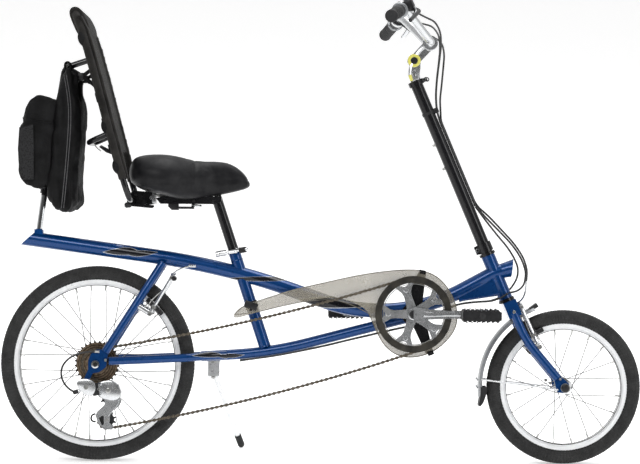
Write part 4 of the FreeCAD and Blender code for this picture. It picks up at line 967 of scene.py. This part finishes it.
def keep_soft(name, piece, node_name):
    """Rounds a soft piece off and keeps it in place of its CAD solid."""
    applied(piece, "SUBSURF", levels=1, render_levels=1)
    piece = keep_piece(name, [piece], "frame", smooth=180, replaces=(node_name,))


def drift(spot, scale, seed=0.0):
    """A smooth wander between -1 and 1."""
    return noise.noise(Vector((spot.x / scale + seed, spot.y / scale, spot.z / scale)))


def stretched(spot, x, z):
    return Vector((spot.x * x, spot.y, spot.z * z))


def ridge(value, width):
    """A rounded ridge that falls away over a width."""
    return math.exp(-(value / width) ** 2)


def make_saddle():
    """Vinyl with a seam, a skirt's edge and a dished middle, on two steel rails."""
    def shape(spot):
        seam = spot.x - (243 + 0.12 * abs(spot.y))
        skirt = spot.z - (712 + 0.05 * (spot.x - 84))
        fold = -2.2 * ridge(seam, 5) * (spot.z > 700)
        edge = -1.6 * ridge(skirt, 4.5)
        dish = -3.5 * ridge(spot.y, 16) * (spot.z > 755) * zero_to_one((300 - spot.x) / 60)
        return fold + edge + dish + 0.5 * drift(spot, 30)

    cover = wrinkled(plump("saddle", VINYL, 5, 1.5, 2, 3), shape)
    keep_soft("saddle_cover", cover, "saddle")
    rail = [(120, 22, 702), (134, 22, 688), (170, 22, 683), (250, 22, 686), (300, 20, 690),
            (330, 14, 700)]
    keep_piece("saddle_rails", drawn_pair(STEEL, rail, 3.5), "frame")


def make_backrest():
    """Mesh pulled tight, its sides drawn back to the line of the side tubes."""
    def shape(spot):
        outer = zero_to_one((abs(spot.y) - 100) / 40)
        pulls = 1.8 * drift(spot, 26, 3) * outer + 1.0 * drift(spot, 11, 9) * outer
        return pulls + 0.8 * drift(spot, 60, 5) - 2.0 - 1.5 * outer

    cover = wrinkled(plump("backrest_panel", MESH, 5, 1.5, 2, 3), shape)
    tube_line = ((674, 88), (795, 50), (990, -2), (1105, -36), (1160, -62))
    depth, share = 12, 0.3
    for vertex in cover.data.vertices:
        height = vertex.co.z / MM
        for (low, x_low), (high, x_high) in zip(tube_line, tube_line[1:]):
            if low <= height <= high:
                front = x_low + (x_high - x_low) * (height - low) / (high - low) + depth
                if abs(vertex.co.y) > 80 * MM and vertex.co.x / MM > front:
                    vertex.co.x = (front + share * (vertex.co.x / MM - front)) * MM
    keep_soft("backrest_cover", cover, "backrest_panel")


def dress_backrest():
    """Mesh sleeves and strap ends on both side tubes, bands across the back, a wire bracket."""
    tube = [(-57, 104, 1151), (-50, 132, 1134), (-36, 146, 1105), (-2, 150, 990), (50, 148, 795),
            (72, 146, 725)]
    sleeves = drawn_pair(MESH, tube, 10.2, sides=4)
    sleeves.append(cut_sheet(MESH, [(-66, 1148), (-60, 1158), (-46, 1155), (-30, 1128), (-24, 1106),
                                    (-30, 1092), (-42, 1092), (-56, 1122)], 0, 240, 6, smooth=True))
    keep_piece("backrest_sleeves", sleeves, "frame", smooth=60)
    folds = []
    for x, z, length in ((-32, 1080, 20), (29, 857, 19), (58, 756, 18)):
        fold = [(x - 0.28 * length, 146, z + length, 0.4), (x - 4, 148, z + length / 2, 1),
                (x, 148, z - length / 2, 1), (x + 0.28 * length, 146, z - length, 0.4)]
        folds += drawn_pair(NYLON, fold, 11, sides=4)
    keep_piece("backrest_strap_ends", folds, "frame", smooth=60)
    bands = [block(NYLON, (2.2, 280, 24), 0.8, (x, 0, z), -15)
             for x, z in ((-39, 1080), (2, 930), (19, 866), (36, 800))]
    keep_piece("backrest_bands", bands, "frame")
    holder = cut_sheet(BLACK, [(5, 808), (9, 812), (38, 797), (36, 790), (22, 795)], -60, 5, 1)
    wire = drawn(STEEL, [(-7, -60, 813), (-4, -60, 806), (9, -60, 797)], 1.4)
    keep_piece("loop_bracket", [holder, wire], "frame")


def make_tall_bag():
    """Slack nylon, gathered at its top and foot, with long folds and a sag."""
    def shape(spot):
        low = zero_to_one((760 - spot.z) / 90)
        high = zero_to_one((spot.z - 915) / 60)
        gathers = math.sin((spot.y + spot.x * 1.3) / 8.0 + 1.6 * drift(spot, 55)) * 3.4
        long_folds = 4.4 * drift(stretched(spot, 2.2, 0.22), 24, 2)
        sag = 3.0 * drift(stretched(spot, 1, 1.4), 40, 5)
        return gathers * max(low, high) + long_folds + sag + 1.4 * drift(spot, 14, 7)

    cover = wrinkled(plump("tall_bag", NYLON, 6, 8, 4, 6), shape)
    keep_soft("tall_bag_cover", cover, "tall_bag")


def make_rear_bag():
    """Fuller nylon with the seams of its flap and base."""
    def shape(spot):
        seam = -2.8 * ridge(spot.z - 868, 3.5) - 2.2 * ridge(spot.z - (722 + 0.1 * spot.x), 3)
        flap = 2.6 * drift(stretched(spot, 1.8, 0.9), 22, 6) * (spot.z > 868)
        return seam + flap + 2.6 * drift(spot, 34, 4) + 1.3 * drift(spot, 12, 8)

    cover = wrinkled(plump("rear_bag", NYLON, 5, 3, 3, 5), shape)
    keep_soft("rear_bag_cover", cover, "rear_bag")


def dress_bags():
    """The rear bag's mesh pockets, tab and flap edge, and the tall bag's zip and hanging straps."""
    panel = [(-196, 852), (-163, 862), (-160, 800), (-160, 724), (-184, 722), (-194, 745), (-199, 800)]
    pockets = [cut_sheet(NET, panel, side * 100.5, 3, 1) for side in SIDES]
    pockets += drawn_pair(NYLON, [(-197, 99, 853), (-180, 100.5, 858), (-161, 100, 863)], 2)
    pockets += drawn_pair(NYLON, [(-161, 100, 862), (-159, 100.5, 800), (-160, 99, 724)], 1.5)
    keep_piece("rear_bag_pockets", pockets, "frame")
    tab = block(NYLON, (3, 34, 22), 1.2, (-190, 0, 893), 14)
    flap_edge = [(-118, -93, 868), (-150, -95, 872), (-180, -93, 878), (-193, -70, 881)]
    piping = drawn(NYLON, flap_edge + [(-195, 0, 882)] + sided(reversed(flap_edge), -1), 1.8)
    keep_piece("rear_bag_trim", [tab, piping], "frame")

    zips = []
    for x in (-74, -68):
        row = [(x - 10, 100, 990), (x + 3, 108, 930), (x + 4, 111, 860), (x - 2, 111, 770),
               (x - 9, 109, 690), (x - 14, 100, 650)]
        zips += drawn_pair(THREAD, row, 1.1)
    keep_piece("tall_bag_zip", zips, "frame")
    loop = [(-84, 22, 1000), (-92, 22, 1016), (-88, 22, 1030), (-74, 22, 1026), (-72, 22, 1008),
            (-80, 22, 1000)]
    hangers = drawn_pair(NYLON, loop, 3.2, order=4)
    for low, high in ((972, 1004), (1004, 972)):
        hangers += drawn_pair(NYLON, [(-64, 50, low), (-40, 58, 990), (-20, 64, high)], 5)
    hangers += [block(PLASTIC, (16, 12, 20), 2.5, (-44, side * 57, 988)) for side in SIDES]
    keep_piece("tall_bag_hangers", hangers, "frame")


# Cockpit. Lengths are in the steering's own frame.

HEAD_TOP = 389
RISER_TOP = 878
HUB = (17, 927)
CLAMP = (73, 953)
GRIP_IN = Vector((39, 130, 1055))
GRIP_OUT = Vector((-9, 300, 1037))


def dress_grips():
    """Ribbed rubber grips with a pale ring, a twist sleeve, the gear's housing and a brake lever."""
    along = (GRIP_OUT - GRIP_IN).normalized()
    stops = [(15.2, -2), (16.4, 0), (16.4, 4), (15.2, 5)]
    for k in range(13):
        at = 7 + 4.8 * k
        stops += [(15.9, at), (15.9, at + 2.4), (14.9, at + 3), (14.9, at + 4.2)]
    stops += [(16.2, 72), (16.4, 76), (15.4, 78), (15.6, 112)]
    grips = [
        turned(RUBBER, stops, 36, GRIP_OUT + along * 2.5, -along),
        turned(SILVER, [(17, 0), (21, 1.5), (21.4, 4), (19.5, 6), (15, 7)], 40,
               GRIP_OUT - along * 110, -along),
        turned(PLASTIC, [(17.2, 0), (17.8, 3), (17.8, 18), (16.8, 26), (16.8, 34)], 32,
               GRIP_OUT - along * 117, -along),
    ]
    grips += [other_side(piece) for piece in grips]
    keep_piece("ribbed_grips", grips, "fork", STEERING, replaces=("grips",))

    collar = GRIP_OUT - along * 134
    clamp = collar - along * 10
    sleeve = set_at(GRIP_OUT - along * 122, -along)
    rib = block(PLASTIC, (1.4, 1.6, 12), 0.4, (17.8, 0, 0))
    made = [copy_of(rib, sleeve @ Matrix.Rotation(2 * math.pi * k / 10, 4, "Z")) for k in range(10)]
    bpy.data.objects.remove(rib)
    lever = ((collar, (26, -4, -6), 1.2), (collar, (50, 10, -16), 1.1),
             (GRIP_OUT, (44, -86, -24), 0.9), (GRIP_OUT, (40, -32, -27), 0.8))
    made += [
        block(PLASTIC, (30, 26, 24), 5, collar + Vector((20, 0, 4)), heading=along),
        turned(WINDOW, [(8.5, 0), (8.5, 2), (7, 3)], 24, collar + Vector((20, 0, 17)), (0.2, 0, 1)),
        hoop(POLISHED, [(16.9, -6), (19, -5), (19, 5), (16.9, 6)], 32, clamp, along),
        bolt(STEEL, 3.4, 3, clamp + Vector((0, 0, 19)), UP),
        turned(POLISHED, [(3.4, 0), (4.4, 2), (4.4, 9), (3.2, 11), (3.2, 17)], 12,
               collar + Vector((14, -20, -6)), (0.45, -1, -0.1)),
        drawn(POLISHED, [(*(base + Vector(step)), wide) for base, step, wide in lever], 5.4, order=4),
    ]
    made += [other_side(piece) for piece in made]
    keep_piece("shift_and_brake_controls", made, "fork", STEERING)


def dress_stem():
    """The hinged stem's cheeks, face plate and neck, its yellow rings, quick lever and bolts."""
    hx, hz = HUB
    cx, cz = CLAMP
    made = pair(hoop, YELLOW, [(9, 0), (17, 0), (16.2, 2.2), (10, 2.6)], 36, spot=(hx, 20, hz))
    made += pair(bolt, PLASTIC, 8.6, 2.0, spot=(hx, 20, hz))
    for dx, dz in ((12, 12), (-12, -13)):
        made += [bolt(STEEL, 3.6, 3, (cx + dx, side * 13, cz + dz), (dx, 0, dz)) for side in SIDES]
    outline = [(-6, RISER_TOP + 1), (10, RISER_TOP + 1), (hx + 13, hz - 12), (hx + 16, hz),
               (hx + 8, hz + 15), (hx - 6, hz + 16), (hx - 16, hz + 4), (hx - 14, hz - 12)]
    slot = [(1, RISER_TOP + 12), (8, RISER_TOP + 12), (11, hz - 22), (4, hz - 22)]
    made += [cut_sheet(SATIN, outline, side * 16, 5, 1.5, holes=(slot,)) for side in SIDES]
    made.append(hoop(SATIN, [(11.3, -21), (19.6, -19), (20, 0), (19.6, 19), (11.3, 21)], 40,
                     (cx, 0, cz), LEFT))
    neck = [(hx + 8, -14, hz + 8, 1), (hx + 26, -15, hz + 22, 0.8), (cx - 12, -14, cz - 2, 1)]
    lever = [(hx - 8, -19, hz - 6, 1), (hx - 20, -20, hz - 14, 1), (hx - 26, -19, hz - 34, 0.8)]
    tip = [(hx - 25, -19, hz - 30, 1), (hx - 26, -19, hz - 46, 0.9)]
    made += drawn_pair(SATIN, neck, 5.5)
    made += [drawn(SATIN, lever, 4.2), drawn(YELLOW, tip, 4.6, order=2)]
    keep_piece("stem_fittings", made, "fork", STEERING)


def dress_riser():
    """Collar bolts and their eye, two studs on the post's back, and the cables' clip."""
    made = []
    for along, forward in ((411, -20), (RISER_TOP - 6.4, 22)):
        made += pair(bolt, POLISHED, 5.4, 4, spot=(forward, 10, along))
    made.append(hoop(POLISHED, [(2.8, -3), (6, -3), (6, 3), (2.8, 3)], 20, (30, 0, RISER_TOP - 8), LEFT))
    for along in (705, 639):
        made.append(turned(STEEL, [(4, 0), (4, 3), (2.8, 4), (2.8, 8)], 14, (-15, 0, along), (-1, 0, 0)))
    keep_piece("riser_bolts", made, "fork", STEERING)
    clip_height = 787
    clip = block(PLASTIC, (13, 22, 14), 2.5, (20.5, 0, clip_height))
    band = hoop(PLASTIC, [(16.1, -4), (17.6, -4), (17.6, 4), (16.1, 4)], 36, (0, 0, clip_height))
    keep_piece("cable_clip", [clip, band], "fork", STEERING)
    rings = [hoop(BLACK, [(17, -1), (wide, -0.8), (wide, 0.8), (17, 1)], 40, (0, 0, along))
             for along, wide in ((HEAD_TOP + 2, 21.8), (HEAD_TOP + 6, 20.6), (262, 21.8), (265, 20.8))]
    keep_piece("headset_rings", rings, "fork", STEERING)


# Brakes, gear and frame.

def dress_brake(name, body, place, low, high, pad, slope):
    """Springs, pad holders, bolts and rubber blocks on a pair of rim brake arms.

    low and high are the left arm's two ends and pad its block; slope is in degrees.
    """
    made = []
    for side in SIDES:
        out = Vector((0, side, 0))
        foot, tip, shoe = [Vector(spot) for spot in sided((low, high, pad), side)]
        run = tip - foot
        middle = foot * 0.45 + tip * 0.55
        face = Vector((shoe.x, foot.y, shoe.z))
        spring = [foot + out * 3 + Vector((-3, 0, 2)), foot + out * 4 + Vector((-9, 0, 22)),
                  (middle.x - 8, tip.y, middle.z), (tip.x - 6, tip.y, tip.z * 0.8 + foot.z * 0.2)]
        rib = [(*(foot + out * 5 + run * 0.12), 1), (*(foot + out * 4.4 + run * 0.9), 0.7)]
        made += [
            bolt(STEEL, 6, 4, foot + out * 7, out),
            block(RUBBER, (56, 9.6, 12.4), 2, shoe, slope),
            block(PLASTIC, (34, 4, 9), 1.2, shoe + out * 6.2, slope),
            hoop(POLISHED, [(4, 0), (8, 0), (8, 1.6), (4, 1.6)], 24, face + out * 3, out),
            nut(STEEL, 5, 5, face + out * 4, out),
            drawn(STEEL, spring, 1.1),
            drawn(POLISHED, rib, 2.6, order=2),
            bolt(STEEL, 4.6, 3.5, tip + out * 4.2 - run * 0.03, out),
        ]
    x, reach, z = high[0], high[1] - 6, high[2] + 3
    made.append(drawn(STEEL, [(x, reach, z), (x, -reach, z)], 0.8, order=2))
    made.append(drawn(RUBBER, [(x, 14, z, 0.8), (x, 4, z, 1.1), (x, -6, z, 1.1), (x, -18, z, 0.6)], 3.2))
    keep_piece(name, made, body, place)


def dress_brakes():
    """Both rim brakes' fittings, and the knob where the rear one's wire leaves its arm."""
    dress_brake("rear_brake_fittings", "frame", UPRIGHT, (137, 49, 381), (193, 46, 477),
                (147, 19.5, 398), 45)
    dress_brake("front_brake_fittings", "fork", STEERING, (30, 41, 122), (27, 44, 238),
                (30, 19.5, 156), -7)
    knob = turned(PLASTIC, [(4, 0), (6.5, 2), (6.5, 9), (5, 11)], 16, (198, -52, 472), (0.2, -1, 0))
    keep_piece("rear_brake_wire_knob", [knob], "frame")


def dress_gear():
    """The derailleur's rounded covers with a black sheet of painted shade between them, bolts, wheel caps, links,
    barrel and spring.
    """
    face, loop, cage = CHAIN_LINE - 30, CHAIN_LINE - 5, CHAIN_LINE - 7.2
    made = [
        cut_sheet(SATIN, [(8, 200), (24, 206), (42, 207), (57, 197), (64, 181), (61, 166), (45, 160),
                          (27, 164), (11, 170)], CHAIN_LINE - 25.5, 9, 3, smooth=True),
        cut_sheet(SATIN, [(-43, 206), (-27, 212), (-9, 209), (0, 200), (-1, 182), (-9, 174),
                          (-24, 176), (-36, 188), (-44, 197)], CHAIN_LINE - 43, 8, 3, smooth=True),
    ]
    for radius, x, side, z in ((7, 33, face, 184), (3, 52, face, 190), (6.4, -22, face - 16, 193),
                               (4, 10, face - 10.5, 188)):
        made.append(bolt(STEEL, radius, 2.6, (x, side, z), RIGHT))
    for x, z in (GUIDE, TENSION):
        made.append(bolt(STEEL, 4.6, 2, (x, CHAIN_LINE - 6, z), RIGHT))
        made.append(turned(PLASTIC, [(9, -1.6), (9.5, 0), (9, 1.6)], 24, (x, CHAIN_LINE, z), LEFT))
    # A black sheet in the gap between the two covers: painted shade, not a part of the derailleur.
    made.append(cut_sheet(PLASTIC, [(-7, 204), (7, 202), (11, 174), (-3, 171)], CHAIN_LINE - 40, 6, 1))
    made += [drawn(POLISHED, [(-14, face - 7, z), (14, face - 1, z)], 3.4, order=2) for z in (200, 178)]
    turns = around((CHAIN_LINE - 33, 189), 0, 4, range(0, 29 * 60, 60))
    coil = [(-8 + k * 0.62, y, z) for k, (y, _, z) in enumerate(turns)]
    made += [
        drawn(STEEL, coil, 0.8, sides=1, resolution=3),
        turned(PLASTIC, [(3.2, 0), (5.6, 2), (5.6, 12), (3.4, 15)], 14, (-42, -78, 182.5),
               (-1, 0, -0.35)),
        drawn(PLASTIC, [(-1, loop, 122), (-9, loop, 121), (-13, loop, 111), (-9, loop, 102),
                        (0, loop, 102)], 2.2),
        drawn(SATIN, [(52, cage, 176), (60, cage, 166), (58, cage, 148), (42, cage, 131),
                      (32, cage, 117)], 1.2),
    ]
    keep_piece("derailleur_fittings", made, "frame")


SEAT_TUBE_TOP = Vector((348.6, 0, 546.4))
SEAT_TUBE_FOOT = Vector((432.3, 0, 295.5))
DOWN_SEAT_TUBE = (SEAT_TUBE_FOOT - SEAT_TUBE_TOP).normalized()


def weld(spot, radius, heading):
    """A rounded bead where one tube meets another."""
    inner, thick = radius - 0.6, 1.3
    stops = [(inner, -thick), (radius + thick * 0.7, -thick * 0.5), (radius + thick, thick * 0.4),
             (inner, thick)]
    return hoop(BLUE, stops, 40, spot, heading)


def dress_frame():
    """Weld beads, and the rear axle's nuts and eyelet bolts."""
    beads = [weld(spot, 15.8, DOWN_SEAT_TUBE) for spot in (
        SEAT_TUBE_TOP + DOWN_SEAT_TUBE * 28, SEAT_TUBE_TOP + DOWN_SEAT_TUBE * 73,
        SEAT_TUBE_FOOT - DOWN_SEAT_TUBE * 3)]
    beads += [weld((160, side * 29.5, 499), 10.8, (144, 0, 230)) for side in SIDES]
    keep_piece("frame_welds", beads, "frame")
    end = (0, 79, REAR_RADIUS)
    nuts = pair(hoop, POLISHED, [(6.4, 0), (10.4, 0), (10, 3), (6.6, 3.4)], 32, spot=end)
    nuts += pair(nut, PLASTIC, 6.2, 5, spot=end) + pair(bolt, STEEL, 4, 3, spot=(26, 72, 262))
    keep_piece("rear_axle_nuts", nuts, "frame")


def dress_seat_clamp():
    """The quick lever, its cam and its nut."""
    made = [
        turned(POLISHED, [(6, 0), (7.6, 1), (7.6, 9), (6.4, 10.5)], 18, (314, -23.5, 536.5),
               (-1, 0, -0.15)),
        block(PLASTIC, (20, 13, 15), 3, (373, -23.5, 546.5), -9),
        drawn(POLISHED, [(378, -23.5, 548, 1.3), (384, -16, 549, 1.1), (384, 6, 549, 1),
                         (380, 26, 548, 0.8)], 4),
    ]
    keep_piece("seat_clamp_lever", made, "frame")


def dress_seat_hardware():
    """Bolts through the carrier and the recline bracket, and the recline lever's knob."""
    made = pair(bolt, POLISHED, 5.4, 3, spot=(137, 26, 680))
    made += pair(bolt, PLASTIC, 4, 3, spot=(96, 26, 686))
    for x, z in ((172, 671), (246, 672), (296, 671)):
        made += pair(bolt, PLASTIC, 3.8, 2.4, spot=(x, 32, z))
    made += [
        cut_sheet(POLISHED, [(139, 694), (146, 694), (147, 664), (140, 664)], -27.5, 3, 0.8),
        cut_sheet(PLASTIC, [(205, 652), (246, 652), (246, 656.5), (205, 656.5)], -20, 30, 0.8),
        cut_sheet(PLASTIC, [(182, 670), (205, 670), (205, 650), (190, 650), (182, 658)], -18, 22, 2),
        turned(POLISHED, [(3.6, 0), (3.6, 26)], 14, (240, -20, 661), (1, 0, -0.1)),
    ]
    keep_piece("seat_fittings", made, "frame")
    knob = turned(RUBBER, [(5, 0), (7, 3), (7, 14), (4, 17)], 18, (86, -44, 660.5), (-1, 0, -0.08))
    keep_piece("recline_knob", [knob], "frame")


def dress_guard():
    """A rolled bead round the chain guard, its band on the seat tube and the clips' screws."""
    side = CHAIN_LINE + 9
    outer = [(353, 380), (372, 400), (398, 410), (440, 424), (500, 444), (573, 461), (676, 485),
             (760, 497), (800, 499), (831, 498), (857, 491), (880, 478), (900, 457), (917, 428),
             (926, 402), (928, 371), (922, 347), (907, 324), (884, 301), (855, 283), (815, 273),
             (781, 276), (755, 290), (734, 312), (718, 345), (700, 385)]
    inner = [(700, 385), (640, 420), (556, 420), (470, 402), (400, 383), (353, 380)]
    beads = [drawn(EDGE, [(x, side, z) for x, z in edge], radius)
             for edge, radius in ((outer, 1.3), (inner, 1.1))]
    keep_piece("guard_bead", beads, "frame")
    made = [bolt(PLASTIC, 4, 2.4, (x, side - 2.5, z), RIGHT)
            for x, z in ((838, 494), (861, 283), (396, 394))]
    middle = SEAT_TUBE_TOP + DOWN_SEAT_TUBE * 150
    made += [
        hoop(PLASTIC, [(15.6, -9), (17, -9), (17, 9), (15.6, 9)], 40, middle, DOWN_SEAT_TUBE),
        block(PLASTIC, (34, 4, 18), 1.5, (middle.x, side - 4.5, middle.z), 18),
        block(PLASTIC, (12, -side - 12, 10), 2, (middle.x, side / 2 - 9, middle.z)),
    ]
    keep_piece("guard_band", made, "frame")


def dress_fender():
    """The fender's nuts and bolts, the front axle's caps, and eyelets on the fork and crown."""
    bolts = pair(bolt, STEEL, 4.2, 3, spot=(1166, 63.5, 212))
    for side in SIDES:
        bolts += [nut(POLISHED, 4.6, 3, (984, side * 27, z), (-0.95, 0, 0.1)) for z in (217, 197)]
    keep_piece("fender_bolts", bolts, "fork")
    caps = pair(turned, PLASTIC, [(10, 0), (11, 2), (11, 12), (8.6, 16), (4.5, 17.5)], 28,
                spot=(WHEELBASE, 54.5, FRONT_RADIUS))
    keep_piece("front_axle_caps", caps, "fork")
    eyes = pair(hoop, BLUE, [(3, -2), (6, -2), (6, 2), (3, 2)], 20, spot=(1192, 56, 222))
    eyes += pair(hoop, BLUE, [(4, -1.5), (9, -1.5), (9, 1.5), (4, 1.5)], 28, spot=(1073, 51, 393))
    eyes += pair(bolt, STEEL, 3.4, 2.6, spot=(1192, 58, 222))
    eyes += pair(bolt, STEEL, 4.2, 2.4, spot=(1073, 52, 393))
    keep_piece("fork_eyelets", eyes, "fork")


def dress_stand():
    """The stand's pivot bolt and nut, and its top plate's screw."""
    axis = TO_UPRIGHT.to_3x3() @ Vector(joints["stand_fold"]["axis"])
    spot = TO_UPRIGHT @ Vector(joints["stand_fold"]["pos_m"]) / MM
    made = [bolt(STEEL, 7, 4, spot + axis * 13.5, axis), nut(STEEL, 6.5, 5, spot - axis * 13.5, -axis),
            bolt(STEEL, 6, 4, (299, 20, 256), (0, 0, -1))]
    keep_piece("stand_bolts", made, "frame")


def dress_cable_ends():
    """A ferrule on each end of the gear cable's last loop."""
    ferrule = [(2.9, -6), (3.3, -5), (3.3, 5), (2.9, 6)]
    made = [turned(STEEL, ferrule, 12, spot, heading)
            for spot, heading in (((4, -73, 283), (1, 0, 0)), ((-50, -78, 179), (1, 0, 0.4)))]
    keep_piece("gear_cable_ends", made, "frame")


dress_wheels()
dress_chain()
dress_drive()
dress_pedals()
make_saddle()
make_backrest()
dress_backrest()
make_tall_bag()
make_rear_bag()
dress_bags()
dress_grips()
dress_stem()
dress_riser()
dress_brakes()
dress_gear()
dress_frame()
dress_seat_clamp()
dress_seat_hardware()
dress_guard()
dress_fender()
dress_stand()
dress_cable_ends()
